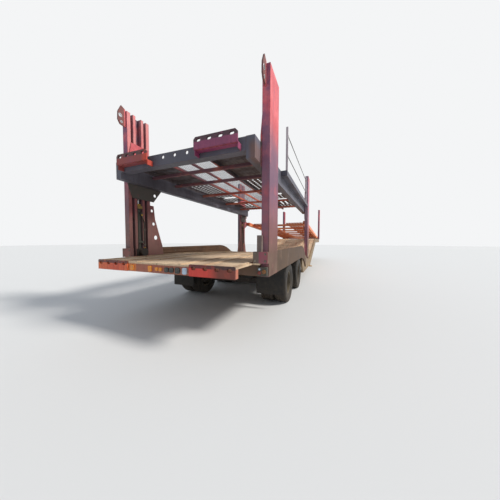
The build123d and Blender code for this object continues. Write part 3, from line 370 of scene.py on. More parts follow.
# Hard chrome keeps a mirror under its oil; the pins and plates are dark with grease
ROD_CHROME = soiled_steel("hard-chromed rod, oil film", "#C9CBCE", "#7C746A", 1.0, 0.2, 24, 0.25, "Z")
PLATE_GREASY = soiled_steel("forged steel, greased", "#57524C", "#211D19", 0.8, 0.4, 110, 0.75)
BOLT_ZINC = soiled_steel("zinc-plated bolts, dulled", "#8C867A", "#3E362E", 0.7, 0.45, 45, 0.7)
GLAND_YELLOW = soiled_steel("yellow-passivated gland nuts", "#C9A24A", "#6E5630", 0.6, 0.4, 40, 0.5)
ROPE_STEEL = soiled_steel("drawn steel wire, stranded", "#5E5B57", "#2E2A27", 0.7, 0.5, 20, 0.6)
# Rubber: charcoal rather than black, brown where dust holds; the tyres are kept dark as painted shade
TYRE_BLACK = vulcanised_rubber("vulcanised tyre rubber", "#161514", "#242220", "#5A4E40", 0.55)
FLAP_BLACK = vulcanised_rubber("vulcanised sheet and bellows rubber", "#151515", "#262524", "#5A5044", 0.5)
# Acrylic: deep colour with a sharp glint, duller where the wheels splash it
LENS_RED = moulded_lens("moulded red acrylic", "#741A16")
LENS_AMBER = moulded_lens("moulded amber acrylic", "#E8902C")
LENS_AMBER_DULL = moulded_lens("moulded amber acrylic, splashed", "#80501F")
LENS_DARK = moulded_lens("moulded smoked acrylic", "#1F2B2C")
LENS_WHITE = moulded_lens("moulded clear acrylic reflector", "#B9CBDD")
# Weld beads: painted over with the post, so the same red, but with burnt brown at their edges
WELD_RED = weathered_enamel(
    "weld bead under red enamel", "#A83A3A", "#C86264", film="#5A3038", rust="#5A3422", chipped=0.9)

# Each finish, with the starts of the names of the CAD pieces that get it
FINISHES = (
    (POST_RED, "post_"), (GIRDER_BROWN, "side_girder"), (BAND_BROWN, "fender_band"),
    (DECK_TAN, "lower_deck", "gooseneck_deck"), (TAIL_BROWN, "rear_beam"), (TAIL_RED, "lower_ramp"),
    (UNDER_DARK, "well_cross", "gooseneck_frame", "chassis_frame", "suspension", "axle", "strap_winches"),
    (DECK_RED, "upper_ramp"), (PLATE_GREASY, "coupling", "kingpin", "landing_shaft"),
    (BARREL_BLACK, "tail_lamps", "air_tanks", "lift_barrels"), (LENS_AMBER, "tail_markers_amber"),
    (LENS_DARK, "tail_markers_dark"), (LENS_WHITE, "tail_markers_white"), (BOX_GREY, "valve_box"),
    (FLAP_BLACK, "air_springs", "mudflaps"), (ROD_CHROME, "lift_rods", "front_lift_rods"),
    (TYRE_BLACK, "tyres"), (RIM_GREY, "wheel_"), (CROSS_ORANGE, "upper_cross"),
    (PLATFORM_ORANGE, "platform_cross", "platform_side"),
    (BEAM_DARK, "upper_side", "upper_rear_beam"), (CARRIAGE_RED, "carriages"), (TRACK_ZINC, "upper_tracks"),
    (TRACK_RUST, "platform_tracks"), (MESH_ZINC, "upper_centre_mesh"), (RAIL_GREY, "handrail_posts"),
    (ROPE_STEEL, "handrail_ropes"), (LEG_YELLOW, "landing_leg"),
)


def finish_nodes():
    """Gives every CAD piece its one finish."""
    for name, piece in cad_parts.items():
        chosen = [material for material, *starts in FINISHES if name.startswith(tuple(starts))]
        if len(chosen) != 1:
            raise ValueError("not one finish for " + name)
        piece.data.materials.clear()
        piece.data.materials.append(chosen[0])


finish_nodes()


def tree_with(name, **sockets):
    """A new geometry tree that takes a mesh, the named inputs and a material, with its own ins and outs."""
    tree = bpy.data.node_groups.new(name, "GeometryNodeTree")
    tree.interface.new_socket("Mesh", in_out="INPUT", socket_type="NodeSocketGeometry")
    for label, kind in [*sockets.items(), ("Material", "Material")]:
        tree.interface.new_socket(label, in_out="INPUT", socket_type="NodeSocket" + kind)
    tree.interface.new_socket("Result", in_out="OUTPUT", socket_type="NodeSocketGeometry")
    given = tree.nodes.new("NodeGroupInput").outputs
    return tree, given, tree.nodes.new("NodeGroupOutput")


def joined(tree, *parts):
    """Joins geometries in a tree."""
    node = tree.nodes.new("GeometryNodeJoinGeometry")
    for part in parts:
        tree.links.new(part, node.inputs[0])
    return node.outputs[0]


def end_tree(tree, result, geometry, given):
    """Realises what was instanced, sets its material and hands it on."""
    real = add(tree, "GeometryNodeRealizeInstances", [("Geometry", geometry)]).outputs[0]
    done = add(tree, "GeometryNodeSetMaterial", [
        ("Geometry", real), ("Material", given["Material"])]).outputs[0]
    tree.links.new(done, result.inputs[0])


def end_on_points(tree, result, thing, turn, given):
    """Sets one thing, turned, at every point of the given mesh and ends the tree."""
    points = add(tree, "GeometryNodeMeshToPoints", [("Mesh", given["Mesh"])]).outputs[0]
    rows = add(tree, "GeometryNodeInstanceOnPoints", [
        ("Points", points), ("Instance", thing), ("Rotation", turn)])
    end_tree(tree, result, rows.outputs[0], given)


def cell_sheet_tree():
    """Lays the given flat cell side by side as a sheet, welds it and gives it its thickness."""
    tree, given, result = tree_with(
        "sheet of cells", Across="Float", Along="Float", Columns="Int", Rows="Int", Thickness="Float")
    grid = add(tree, "GeometryNodeMeshGrid", [
        ("Vertices X", given["Columns"]), ("Vertices Y", given["Rows"])])
    for axis, count, step in (("Size X", "Columns", "Across"), ("Size Y", "Rows", "Along")):
        steps = add(tree, "ShaderNodeMath", [(0, given[count]), (1, 1)], operation="SUBTRACT").outputs[0]
        reach = add(tree, "ShaderNodeMath", [(0, steps), (1, given[step])], operation="MULTIPLY").outputs[0]
        tree.links.new(reach, grid.inputs[axis])
    cells = add(tree, "GeometryNodeInstanceOnPoints", [
        ("Points", grid.outputs["Mesh"]), ("Instance", given["Mesh"])]).outputs[0]
    flat = add(tree, "GeometryNodeRealizeInstances", [("Geometry", cells)]).outputs[0]
    flat = add(tree, "GeometryNodeMergeByDistance", [("Geometry", flat), ("Distance", 0.01 * MM)]).outputs[0]
    raised = add(tree, "GeometryNodeExtrudeMesh", [
        ("Mesh", flat), ("Offset Scale", given["Thickness"]), ("Individual", False)]).outputs["Mesh"]
    under = add(tree, "GeometryNodeFlipFaces", [("Mesh", flat)]).outputs[0]
    end_tree(tree, result, joined(tree, raised, under), given)
    return tree


WASHER_WIDTH, WASHER_HEIGHT = 1.5, 0.35     # shares of the head's own


def fastener_tree():
    """A six-sided head on a round washer at every point of the given mesh, turned by Turn."""
    tree, given, result = tree_with("row of bolts", Radius="Float", Height="Float", Turn="Vector")
    head = add(tree, "GeometryNodeMeshCylinder", [
        ("Vertices", 6), ("Radius", given["Radius"]), ("Depth", given["Height"])]).outputs["Mesh"]
    wide = add(tree, "ShaderNodeMath", [
        (0, given["Radius"]), (1, WASHER_WIDTH)], operation="MULTIPLY").outputs[0]
    flat = add(tree, "ShaderNodeMath", [
        (0, given["Height"]), (1, WASHER_HEIGHT)], operation="MULTIPLY").outputs[0]
    washer = add(tree, "GeometryNodeMeshCylinder", [
        ("Vertices", 14), ("Radius", wide), ("Depth", flat)]).outputs["Mesh"]
    end_on_points(tree, result, joined(tree, head, washer), given["Turn"], given)
    return tree


CELL_SHEET = cell_sheet_tree()
FASTENERS = fastener_tree()


def plain_mesh(name, points, faces=()):
    mesh = bpy.data.meshes.new(name)
    mesh.from_pydata([tuple(point) for point in points], [], [tuple(face) for face in faces])
    return mesh


def placed(name, mesh, body, replaced=(), material=None):
    """Puts a finished mesh in the scene as a piece on its body."""
    piece = in_scene(name, mesh)
    if material:
        mesh.materials.clear()
        mesh.materials.append(material)
    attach(piece, body)
    if replaced:
        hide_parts(*replaced)


def grown(tree, mesh, **values):
    """Runs a geometry tree on a mesh with its named inputs, and returns the plain mesh that it makes."""
    seed = in_scene("seed", mesh)
    modifier = seed.modifiers.new("grow", "NODES")
    modifier.node_group = tree
    sockets = {item.name: item.identifier for item in tree.interface.items_tree
               if item.item_type == "SOCKET" and item.in_out == "INPUT"}
    for label, value in values.items():
        modifier[sockets[label]] = value
    graph = bpy.context.evaluated_depsgraph_get()
    result = bpy.data.meshes.new_from_object(seed.evaluated_get(graph), depsgraph=graph)
    bpy.data.objects.remove(seed)
    return result


def solid(name, *boxes):
    """Plain boxes as one mesh, each given by its lowest and highest corners."""
    points, faces = [], []
    for low, high in boxes:
        start = len(points)
        points += [(x, y, z) for x in (low[0], high[0]) for y in (low[1], high[1]) for z in (low[2], high[2])]
        faces += [tuple(start + i for i in face) for face in (
            (0, 1, 3, 2), (4, 6, 7, 5), (0, 4, 5, 1), (2, 3, 7, 6), (0, 2, 6, 4), (1, 5, 7, 3))]
    return plain_mesh(name, points, faces)


def merged(name, *meshes):
    """Several meshes as one."""
    work = bmesh.new()
    for mesh in meshes:
        work.from_mesh(mesh)
    result = bpy.data.meshes.new(name)
    work.to_mesh(result)
    work.free()
    return result


HOLE_SIDES = 12


def in_line(first, second):
    """Whether two points share their X or their Y."""
    return abs(first[0] - second[0]) < 1e-9 or abs(first[1] - second[1]) < 1e-9


def punched_cell(across, along, half_width, half_length):
    """A flat cell of sheet with an oblong hole in its middle."""
    ring, rim = [], []
    for count in range(HOLE_SIDES):
        angle = 2 * pi * (count + 0.5) / HOLE_SIDES
        x, y = cos(angle), sin(angle)
        reach = min(across / 2 / abs(x), along / 2 / abs(y))
        ring.append((half_width * x, (half_length - half_width) * (1 if y > 0 else -1) + half_width * y, 0))
        rim.append((reach * x, reach * y, 0))
    corners = [(sx * across / 2, sy * along / 2, 0) for sx, sy in ((1, 1), (-1, 1), (-1, -1), (1, -1))]
    points = ring + rim + corners
    faces = []
    for count in range(HOLE_SIDES):
        after = (count + 1) % HOLE_SIDES
        outer = [HOLE_SIDES + count, HOLE_SIDES + after]
        first, second = rim[count], rim[after]
        for index, corner in enumerate(corners):
            if in_line(first, corner) and in_line(second, corner) and not in_line(first, second):
                outer.insert(1, 2 * HOLE_SIDES + index)
        faces.append([count] + outer + [after])
    return plain_mesh("punched cell", points, faces)


def diamond_cell(across, along, strand):
    """A flat cell of expanded mesh: four strands round a diamond, with half a bond at each tip."""
    x, y, half = across / 2, along / 2, strand / 2
    tips = [(x, -half), (x, half), (half, y), (-half, y), (-x, half), (-x, -half), (-half, -y), (half, -y)]
    inner = [(x - strand, 0), (0, y - strand), (strand - x, 0), (0, strand - y)]
    points = [(*point, 0) for point in tips + inner]
    faces = [(2 * i, 2 * i + 1, 8 + i) for i in range(4)]
    faces += [(2 * i + 1, (2 * i + 2) % 8, 8 + (i + 1) % 4, 8 + i) for i in range(4)]
    return plain_mesh("diamond cell", points, faces)


def opened_plate(across, along, openings):
    """A flat plate about its middle, in strips round its rectangular openings."""
    columns = sorted({-across / 2, across / 2} | {x for opening in openings for x in opening[:2]})
    rows = sorted({-along / 2, along / 2} | {y for opening in openings for y in opening[2:]})
    width = len(columns)
    faces = []
    for row in range(len(rows) - 1):
        for column in range(width - 1):
            x, y = (columns[column] + columns[column + 1]) / 2, (rows[row] + rows[row + 1]) / 2
            if not any(a < x < b and c < y < d for a, b, c, d in openings):
                first = row * width + column
                faces.append((first, first + 1, first + width + 1, first + width))
    return plain_mesh("opened plate", [(x, y, 0) for y in rows for x in columns], faces)


def cell_sheet(cell_of, x0, x1, y0, y1, top, across, along, thickness, material, **sizes):
    """A sheet of cells between two corners, its upper face at a height."""
    columns = round((x1 - x0) / across)
    rows = round((y1 - y0) / along)
    step_x, step_y = (x1 - x0) / columns, (y1 - y0) / rows
    cell = cell_of(step_x, step_y, **sizes)
    sheet = grown(CELL_SHEET, cell, Across=step_x, Along=step_y, Columns=columns, Rows=rows,
                  Thickness=thickness, Material=material)
    sheet.transform(Matrix.Translation(((x0 + x1) / 2, (y0 + y1) / 2, top - thickness)))
    return sheet


TRACK_INNER, TRACK_OUTER = 0.360, 1.000
TRACK_SIDES = ((TRACK_INNER, TRACK_OUTER), (-TRACK_OUTER, -TRACK_INNER))
TRACK_SHEET = 3 * MM
HOLE_PITCH = (0.107, 0.100)
HOLE_HALF_WIDTH, HOLE_HALF_LENGTH = 18 * MM, 31 * MM
GAP_RIM = 20 * MM           # plain plate at each end of a wheel gap


def punched(x0, x1, y0, y1, top, material):
    """A stretch of track sheet with rows of oblong holes."""
    return cell_sheet(punched_cell, x0, x1, y0, y1, top, *HOLE_PITCH, TRACK_SHEET, material,
                      half_width=HOLE_HALF_WIDTH, half_length=HOLE_HALF_LENGTH)


def opened(x0, x1, y0, y1, top, material, openings=()):
    """A stretch of track sheet that is plain, or has rectangular openings, given from its middle."""
    return cell_sheet(opened_plate, x0, x1, y0, y1, top, x1 - x0, y1 - y0, TRACK_SHEET, material,
                      openings=openings)


def flanges(x0, x1, y0, y1, top, depth):
    """The two upright edges of a track."""
    low, high = top - depth, top - TRACK_SHEET
    return solid("flanges", ((x0, y0, low), (x0 + TRACK_SHEET, y1, high)),
                 ((x1 - TRACK_SHEET, y0, low), (x1, y1, high)))


PLAIN_END = 1.150           # the tracks are plain from the tail to here, and punched ahead of it
WHEEL_GAPS = ((2.630, 2.790), (3.290, 3.450))
WHEEL_GAP_HALF, STRAP_HALF = 0.180, 0.025
STRAP_SLOTS = (3.700, 4.180)
STRAP_PLACES = (-0.140, 0, 0.140)


def upper_tracks():
    """Both tracks of the upper deck: plain at the tail, then punched, with wheel gaps and strap slots."""
    low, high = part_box("upper_tracks")
    parts = []
    for x0, x1 in TRACK_SIDES:
        start = at(PLAIN_END)
        parts.append(flanges(x0, x1, low.y, high.y, high.z, high.z - low.z))
        parts.append(opened(x0, x1, low.y, start, high.z, TRACK_ZINC))
        holes = [(gap, ((0, WHEEL_GAP_HALF),)) for gap in WHEEL_GAPS]
        holes.append((STRAP_SLOTS, [(place, STRAP_HALF) for place in STRAP_PLACES]))
        for (rear, front), row in holes:
            y0, y1, reach = at(rear), at(front), (front - rear) / 2
            parts.append(punched(x0, x1, start, y0 - GAP_RIM, high.z, TRACK_ZINC))
            openings = [(place - half, place + half, -reach, reach) for place, half in row]
            parts.append(opened(x0, x1, y0 - GAP_RIM, y1 + GAP_RIM, high.z, TRACK_ZINC, openings))
            start = y1 + GAP_RIM
        parts.append(punched(x0, x1, start, high.y, high.z, TRACK_ZINC))
    return merged("upper tracks", *parts)


placed("upper_track_sheets", upper_tracks(), "upper_deck", ["upper_tracks"], TRACK_ZINC)

MESH_CELL = (0.050, 0.040)
MESH_SHEET, MESH_STRAND = 3 * MM, 4.5 * MM
mesh_low, mesh_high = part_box("upper_centre_mesh")
placed("walkway_mesh", cell_sheet(diamond_cell, mesh_low.x, mesh_high.x, mesh_low.y, mesh_high.y, mesh_high.z,
                                  *MESH_CELL, MESH_SHEET, MESH_ZINC, strand=MESH_STRAND),
       "upper_deck", ["upper_centre_mesh"], MESH_ZINC)

PLATFORM_PIVOT = Vector((0, at(5.160), 1.900))
PLATFORM_NOSE_PINS = (7.273, 0.445)     # the front pins' reach ahead of the pivot and drop below it
PLATFORM_FALL = atan2(PLATFORM_NOSE_PINS[1], PLATFORM_NOSE_PINS[0])
PLATFORM_TRACK_START, PLATFORM_NOSE = 0.300, 0.185      # ahead of the pivot, and past the front pins
PLATFORM_TRACK_END = PLATFORM_NOSE_PINS[0] / cos(PLATFORM_FALL) + PLATFORM_NOSE
PLATFORM_HALF = 0.060       # the tracks' surface above the line through the pins
PLATFORM_TRACK_DEPTH = 0.050


def platform_tracks():
    """Both tracks of the front platform, drawn level ahead of the pivot and then laid on its fall."""
    parts = []
    for x0, x1 in TRACK_SIDES:
        parts.append(punched(x0, x1, PLATFORM_TRACK_START, PLATFORM_TRACK_END, PLATFORM_HALF, TRACK_RUST))
        parts.append(flanges(x0, x1, PLATFORM_TRACK_START, PLATFORM_TRACK_END, PLATFORM_HALF,
                             PLATFORM_TRACK_DEPTH))
    tracks = merged("platform tracks", *parts)
    tracks.transform(Matrix.Translation(PLATFORM_PIVOT) @ Matrix.Rotation(-PLATFORM_FALL, 4, "X"))
    return tracks


placed("platform_track_sheets", platform_tracks(), "front_platform", ["platform_tracks"],
       TRACK_RUST)


def fitted(name, meshes, body, material, replaced=(), smooth_degrees=35):
    """Closed meshes as one piece on its body, their faces turned outwards and their gentle edges smooth."""
    mesh = merged(name, *meshes)
    work = bmesh.new()
    work.from_mesh(mesh)
    bmesh.ops.recalc_face_normals(work, faces=work.faces)
    for face in work.faces:
        face.smooth = True
    for edge in work.edges:
        edge.smooth = edge.calc_face_angle(0) < radians(smooth_degrees)
    work.to_mesh(mesh)
    work.free()
    placed(name, mesh, body, replaced, material)


def circle(sides):
    """The cosine and sine of each step round a circle."""
    return [(cos(2 * pi * count / sides), sin(2 * pi * count / sides)) for count in range(sides)]


def skinned(name, rings, endless=False):
    """A closed mesh through rings of points, with two end caps or else its last ring joined to its first."""
    sides = len(rings[0])
    points = [point for ring in rings for point in ring]
    faces = []
    for index in range(len(rings) if endless else len(rings) - 1):
        low, high = index * sides, (index + 1) % len(rings) * sides
        faces += [(low + i, low + (i + 1) % sides, high + (i + 1) % sides, high + i) for i in range(sides)]
    if not endless:
        faces += [tuple(range(sides))[::-1], tuple(range(len(points) - sides, len(points)))]
    return plain_mesh(name, points, faces)


def tube(path, radius, sides=8):
    """A closed tube swept along a path of points."""
    path = [Vector(point) for point in path]
    rings = []
    for index, point in enumerate(path):
        ahead = (path[min(index + 1, len(path) - 1)] - path[max(index - 1, 0)]).normalized()
        across = (ahead.orthogonal() if index == 0 else across - across.project(ahead)).normalized()
        up = ahead.cross(across)
        rings.append([point + radius * (x * across + y * up) for x, y in circle(sides)])
    return skinned("tube", rings)


BEND_STEPS = 6


def bent_path(corners, reach):
    """The line of a steel pipe through corners, each bent within a reach."""
    corners = [Vector(corner) for corner in corners]
    path = [corners[0]]
    for before, corner, after in zip(corners, corners[1:], corners[2:]):
        start = corner + (before - corner).normalized() * reach
        end = corner + (after - corner).normalized() * reach
        for count in range(BEND_STEPS + 1):
            share = count / BEND_STEPS
            path.append(start.lerp(corner, share).lerp(corner.lerp(end, share), share))
    return path + [corners[-1]]


LENS_RIM = 0.4              # the share of a lens's rise that its upright rim takes
LENS_RINGS, LENS_SIDES = 4, 20


def dome(centre, facing, radius, rise):
    """A shallow moulded dome on a short rim, facing along an axis."""
    across = facing.orthogonal().normalized()
    up = facing.cross(across)
    turns = [pi / 2 * ring / LENS_RINGS for ring in range(LENS_RINGS)]
    profile = [(1, 0)] + [(cos(turn), LENS_RIM + (1 - LENS_RIM) * sin(turn)) for turn in turns]
    return skinned("dome", [[centre + facing * rise * high + radius * wide * (x * across + y * up)
                             for x, y in circle(LENS_SIDES)] for wide, high in profile])


RING_CHAMFER = 0.2          # share of a ring's height


def ring_about(centre, inner, outer, height, sides=24):
    """An upright ring with a chamfered top edge, standing on a centre point."""
    chamfer = height * RING_CHAMFER
    profile = ((inner, 0), (outer, 0), (outer, height - chamfer), (outer - chamfer, height), (inner, height))
    return skinned("ring", [[(centre.x + radius * x, centre.y + radius * y, centre.z + rise)
                             for x, y in circle(sides)] for radius, rise in profile], endless=True)


def ring_along(start, inner, outer, length):
    """The same ring laid along Y from a start point."""
    ring = ring_about(Vector((0, 0, 0)), inner, outer, length, 16)
    ring.transform(Matrix.Translation(start) @ Matrix.Rotation(-pi / 2, 4, "X"))
    return ring


def ring_across(middle, inner, outer, length):
    """The same ring laid along X about a middle point."""
    ring = ring_about(Vector((0, 0, -length / 2)), inner, outer, length)
    ring.transform(Matrix.Translation(middle) @ Matrix.Rotation(pi / 2, 4, "Y"))
    return ring


# Widths from the trailer's middle, stations from the rear face of a post, heights from the ground
SIDE, POST_INNER, POST_DEPTH = 1.275, 1.175, 0.430
DECK_HEIGHT = 0.955
FOOT_INNER, FOOT_TOP, FOOT_REACH = 1.085, 1.100, 0.060
TAIL_FACE = at(-FOOT_REACH)
STANDING_POSTS = (0.0, 4.500)           # stations of the rear and middle posts, whose cylinders stand
CHANNEL_MIDDLE, RIB_MIDDLE = 0.213, 0.290
ROD_X, BARREL_TOP = 1.223, 1.850
PORT_REACH, ELBOW_REACH = 0.024, 0.045  # how far a port and its elbow stand in from the post
PORT_HEIGHT, CROSS_TOP, CROSS_LOW, PIPE_FOOT = 1.716, 1.650, 1.560, 1.085
PIPE_RADIUS, PIPE_BEND, PIPE_NUT = 9 * MM, 14 * MM, 14 * MM
PORT_NUT_SPAN, FOOT_NUT_SPAN = (-0.020, -0.044), (0, 0.026)     # above the port and above the pipe's foot
PIPE_CLIPS = (1.150, 1.420)
CLIP_PROUD, CLIP_HALF, CLIP_HEIGHT = 0.006, 0.022, 0.018


def lift_pipes():
    """A bent steel pipe from each standing cylinder's port down a post's rib, with its nuts and clips."""
    pipes, nuts, clips = [], [], []
    for start in STANDING_POSTS:
        for side in BOTH:
            y, run_y = at(start + CHANNEL_MIDDLE), at(start + RIB_MIDDLE)
            x, run_x = side * (POST_INNER - ELBOW_REACH), side * (POST_INNER - PIPE_RADIUS)
            corners = [(side * (POST_INNER - PORT_REACH), y, PORT_HEIGHT), (x, y, PORT_HEIGHT),
                       (x, y, CROSS_TOP), (run_x, run_y, CROSS_LOW), (run_x, run_y, PIPE_FOOT)]
            pipes.append(tube(bent_path(corners, PIPE_BEND), PIPE_RADIUS))
            nuts.append(tube([(x, y, PORT_HEIGHT + rise) for rise in PORT_NUT_SPAN], PIPE_NUT, 6))
            nuts.append(tube([(run_x, run_y, PIPE_FOOT + rise) for rise in FOOT_NUT_SPAN], PIPE_NUT, 6))
            low_x, high_x = sorted((run_x - side * CLIP_PROUD, side * POST_INNER))
            clips += [solid("clip", ((low_x, run_y - CLIP_HALF, z),
                                     (high_x, run_y + CLIP_HALF, z + CLIP_HEIGHT))) for z in PIPE_CLIPS]
    return pipes, nuts, clips


pipes, pipe_nuts, pipe_clips = lift_pipes()
fitted("lift_pipes", pipes, "chassis", BARREL_BLACK)
fitted("lift_pipe_nuts", pipe_nuts, "chassis", GLAND_YELLOW)
fitted("lift_pipe_clips", pipe_clips, "chassis", BOLT_ZINC)

# The yellow nut on the head of each standing cylinder, round its rod: bore, outer radius, height
COLLAR = (26 * MM, 42 * MM, 34 * MM)
collars = [ring_about(Vector((side * ROD_X, at(start + CHANNEL_MIDDLE), BARREL_TOP)), *COLLAR)
           for start in STANDING_POSTS for side in BOTH]
fitted("gland_collars", collars, "chassis", GLAND_YELLOW)

# Tail lamp lenses: name, place on X and Z, radius in mm, slot, material
LAMP_LENSES = (("tail_lamp_lenses_red", 1.172, 0.838, 25, "lamp", LENS_RED),
               ("tail_lamp_lenses_clear", 1.172, 0.884, 14, "white_lamp", LENS_WHITE),
               ("tail_lamp_lenses_amber", 1.230, 0.855, 27, "amber_lamp", LENS_AMBER_DULL))
LENS_RISE = 9 * MM
for name, x, z, radius, slot, lens in LAMP_LENSES:
    domes = [dome(Vector((side * x, TAIL_FACE, z)), Vector((0, -1, 0)), radius * MM, LENS_RISE)
             for side in BOTH]
    fitted(name, domes, "chassis", lens, smooth_degrees=50)

# Eyes of the ears behind the rear posts' heads: reach behind the post, height, radius of the bush's bore
EAR_EYES = ((0.088, 3.255, 21 * MM), (0.070, 3.160, 10 * MM))
EAR_MIDDLE = 1.215
BUSH_WALL, BUSH_LENGTH = 13 * MM, 27 * MM
bushes = [ring_across(Vector((side * EAR_MIDDLE, at(-behind), z)), bore, bore + BUSH_WALL, BUSH_LENGTH)
          for side in BOTH for behind, z, bore in EAR_EYES]
fitted("ear_bushes", bushes, "chassis", ROD_CHROME)

ALONG_X, ALONG_Y = (0, pi / 2, 0), (pi / 2, 0, 0)


def bolted(name, points, body, radius_mm, height_mm, turn):
    """Bolt heads of a radius and height at points, as one piece on a body."""
    heads = grown(FASTENERS, plain_mesh("bolts", points), Radius=radius_mm * MM, Height=height_mm * MM,
                  Turn=turn, Material=BOLT_ZINC)
    placed(name, heads, body)


FOOT_BOLTS_X, FOOT_BOLTS_Z = (FOOT_INNER + 0.028, SIDE - 0.030), (DECK_HEIGHT + 0.030, FOOT_TOP - 0.028)
bolted("foot_block_bolts",
       [(side * x, TAIL_FACE, z) for side in BOTH for x in FOOT_BOLTS_X for z in FOOT_BOLTS_Z],
       "chassis", 10, 14, ALONG_Y)
BAND_INNER, BAND_BOLT_HEIGHT = 1.245, FOOT_TOP - 0.080
BAND_BOLTS = [0.780 + 0.370 * count for count in range(7)]
bolted("band_bolts",
       [(side * BAND_INNER, at(station), BAND_BOLT_HEIGHT) for side in BOTH for station in BAND_BOLTS],
       "chassis", 9, 12, ALONG_X)
BEAM_INNER, BEAM_OUTER = 1.050, 1.160
CROSS_MEMBERS = (0.400, 0.980, 1.950, 3.150, 4.250)
CROSS_BOLT_SHIFTS, CROSS_BOLT_HEIGHT = (-0.055, 0.055), 2.360
bolted("cross_member_bolts", [(side * BEAM_INNER, at(station + shift), CROSS_BOLT_HEIGHT) for side in BOTH
                              for station in CROSS_MEMBERS for shift in CROSS_BOLT_SHIFTS],
       "upper_deck", 10, 14, ALONG_X)
CARRIAGE_FACE, CARRIAGE_HEIGHTS = BEAM_OUTER + 0.010, (2.29, 2.41)
CARRIAGE_ROWS = ((0.480, 0.660), (4.985, 5.055))        # ahead of the posts, which the heads would foul
bolted("carriage_bolts", [(side * CARRIAGE_FACE, at(station), z) for side in BOTH for row in CARRIAGE_ROWS
                          for station in row for z in CARRIAGE_HEIGHTS],
       "upper_deck", 11, 12, ALONG_X)

WELD_STEP, WELD_SIZE = 7 * MM, 6 * MM


def weld_tree():
    """Overlapping drops, each turned at random, at every point of the given mesh, as a welder's ripples."""
    tree, given, result = tree_with("weld ripples", Size="Float")
    drop = add(tree, "GeometryNodeMeshIcoSphere", [
        ("Radius", given["Size"]), ("Subdivisions", 1)]).outputs["Mesh"]
    turn = add(tree, "FunctionNodeRandomValue", [("Seed", 7)], data_type="FLOAT_VECTOR").outputs[0]
    end_on_points(tree, result, drop, turn, given)
    return tree


WELDS = weld_tree()


def seam(start, end):
    """Points at every weld step along a joint."""
    start, end = Vector(start), Vector(end)
    count = round((end - start).length / WELD_STEP)
    return [start.lerp(end, (step + 0.5) / count) for step in range(count)]


def welded(name, joints, body):
    """Weld beads along joints, as one piece on a body."""
    points = [point for joint in joints for point in seam(*joint)]
    beads = grown(WELDS, plain_mesh("seams", points), Size=WELD_SIZE, Material=WELD_RED)
    placed(name, beads, body)


DECK_SEAM = DECK_HEIGHT + 0.002
RIB_SEAM, RIB_SEAM_TOP = 1.190, 1.880
EAR_SEAM, EAR_SEAM_SPAN = 1.204, (3.110, 3.360)
post_joints = []
for side in BOTH:
    post, foot, rib, ear = (side * x for x in (POST_INNER, FOOT_INNER, RIB_SEAM, EAR_SEAM))
    post_joints += [((post, at(0), DECK_SEAM), (post, at(POST_DEPTH), DECK_SEAM)),
                    ((rib, at(POST_DEPTH), DECK_HEIGHT), (rib, at(POST_DEPTH), RIB_SEAM_TOP)),
                    tuple((ear, at(0), z) for z in EAR_SEAM_SPAN),
                    ((foot, TAIL_FACE + 0.004, DECK_SEAM), (foot, at(0), DECK_SEAM))]
welded("post_welds", post_joints, "chassis")
PLATE_FRONT, PLATE_SEAM, PLATE_SPAN = at(-0.300), 2.349, (0.420, 0.970)
welded("hook_plate_welds", [[(side * x, PLATE_FRONT, PLATE_SEAM) for x in PLATE_SPAN] for side in BOTH],
       "upper_deck")

HANDRAIL_X = 1.225
ROPE_STATIONS = (1.288, 4.312)
ROPE_HEIGHTS = (2.790, 3.150)
STRAND_RADIUS = 4 * MM
LAY_LENGTH = 0.110          # one turn of a strand; coarser than a real rope, so that the twist can be seen
LAY_STEPS = 10


def rope_strands(z):
    """Three strands laid round one another along the handrail."""
    start, end = ROPE_STATIONS
    steps = round((end - start) / LAY_LENGTH * LAY_STEPS)
    strands = []
    for strand in range(3):
        path = []
        for step in range(steps + 1):
            along = start + (end - start) * step / steps
            angle = 2 * pi * (along / LAY_LENGTH + strand / 3)
            path.append((HANDRAIL_X + STRAND_RADIUS * cos(angle), at(along), z + STRAND_RADIUS * sin(angle)))
        strands.append(tube(path, STRAND_RADIUS, 6))
    return strands


fitted("handrail_strands", [strand for z in ROPE_HEIGHTS for strand in rope_strands(z)], "upper_deck",
       ROPE_STEEL, ["handrail_ropes"])
FERRULE = (9 * MM, 15 * MM, 0.045)      # bore, outer radius, length
FERRULE_STATIONS = (ROPE_STATIONS[0] + 0.020, ROPE_STATIONS[1] - 0.065)
ferrules = [ring_along(Vector((HANDRAIL_X, at(station), z)), *FERRULE) for z in ROPE_HEIGHTS
            for station in FERRULE_STATIONS]
fitted("rope_ferrules", ferrules, "upper_deck", BOLT_ZINC)

AXLES = {"rear": 1.650, "front": 2.960}
WHEEL_CENTRE, WHEEL_HEIGHT = 0.975, 0.395
TWIN_OFFSET = 0.1375
RING_STEPS = 72
# Half section of a tyre from mid tread to bead, in mm: distance from its middle plane, radius
TYRE_SECTION = (
    (0, 394), (15, 394), (17, 383), (24, 383), (26, 394), (58, 393.5), (60, 382), (67, 382), (69, 393),
    (96, 391), (108, 384), (116, 370), (119, 356), (117, 348), (121.5, 330), (122, 300), (118, 270),
    (113, 262), (109, 250), (101, 234), (92.5, 226))


def tyre_ring(centre):
    """A tyre with its tread grooves and side walls, turned about its axle as a closed ring."""
    half = [(x * MM, radius * MM) for x, radius in TYRE_SECTION]
    section = [(-x, radius) for x, radius in half[:0:-1]] + half
    return skinned("tyre ring", [[(centre.x + x, centre.y + radius * along, centre.z + radius * up)
                                  for x, radius in section]
                                 for along, up in circle(RING_STEPS)], endless=True)


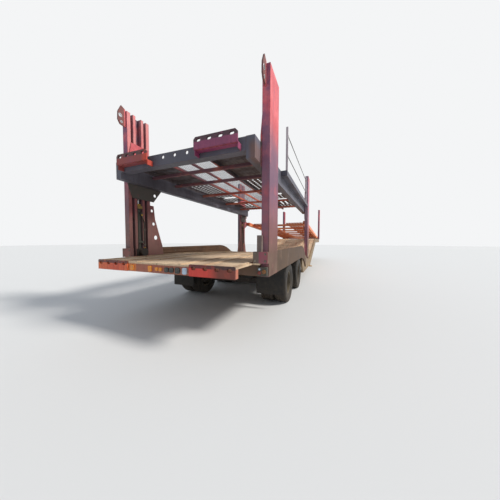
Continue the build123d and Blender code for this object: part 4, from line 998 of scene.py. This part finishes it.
NUT_CIRCLE, NUT_COUNT, NUT_FACE = 0.1375, 8, 20 * MM
for where, station in AXLES.items():
    for side, sign in (("left", -1), ("right", 1)):
        wheel = f"{where}_{side}"
        body = "wheels_" + wheel
        centre = Vector((sign * WHEEL_CENTRE, at(station), WHEEL_HEIGHT))
        pair = [tyre_ring(centre + Vector((step * TWIN_OFFSET, 0, 0))) for step in BOTH]
        fitted("tyre_pair_" + wheel, pair, body, TYRE_BLACK, ["tyres_" + wheel])
        angles = [2 * pi * (count + 0.5) / NUT_COUNT for count in range(NUT_COUNT)]
        nuts = [centre + Vector((sign * NUT_FACE, NUT_CIRCLE * cos(angle), NUT_CIRCLE * sin(angle)))
                for angle in angles]
        bolted("wheel_nuts_" + wheel, nuts, body, 16, 22, ALONG_X)

FLOOR_HALF = 60.0
SUN_STRENGTH, SKY_FILL = 3.1, 0.62
SUN_TURN = (48, 0, 99)      # degrees
SUN_ANGLE = 12.0            # as wide as a soft box, for shadows with a soft edge


def make_stage():
    """Pale floor, a soft key light from the right and behind the camera, and an even fill from the sky."""
    corners = [(x * FLOOR_HALF, y * FLOOR_HALF, 0) for x, y in ((-1, -1), (1, -1), (1, 1), (-1, 1))]
    mesh = plain_mesh("floor", corners, [(0, 1, 2, 3)])
    material, _, shader = new_material("pale floor")
    shader.inputs["Base Color"].default_value = linear("#D8D8D6")
    shader.inputs["Roughness"].default_value = 0.9
    mesh.materials.append(material)
    floor = in_scene("floor", mesh)
    sun = bpy.data.lights.new("key", "SUN")
    sun.energy = SUN_STRENGTH
    sun.angle = radians(SUN_ANGLE)
    sun.color = (1.0, 0.97, 0.93)
    in_scene("key", sun).rotation_euler = [radians(degrees) for degrees in SUN_TURN]
    world = bpy.data.worlds.new("studio sky")
    bpy.context.scene.world = world
    world.use_nodes = True
    tree = world.node_tree
    tree.nodes.clear()
    path = add(tree, "ShaderNodeLightPath")
    seen = path.outputs["Is Camera Ray"]
    for ray in ("Is Glossy Ray", "Is Transmission Ray"):
        seen = add(tree, "ShaderNodeMath", [
            (0, seen), (1, path.outputs[ray])], operation="MAXIMUM").outputs[0]
    fill = add(tree, "ShaderNodeBackground", [("Color", linear("#E0E9F6")), ("Strength", SKY_FILL)])
    shown = add(tree, "ShaderNodeBackground", [("Color", linear("#F4F5F6")), ("Strength", 1.0)])
    mixed = add(tree, "ShaderNodeMixShader", [("Fac", seen), (1, fill.outputs[0]), (2, shown.outputs[0])])
    add(tree, "ShaderNodeOutputWorld", [("Surface", mixed.outputs[0])])
    bpy.context.scene.view_settings.view_transform = "Standard"


make_stage()
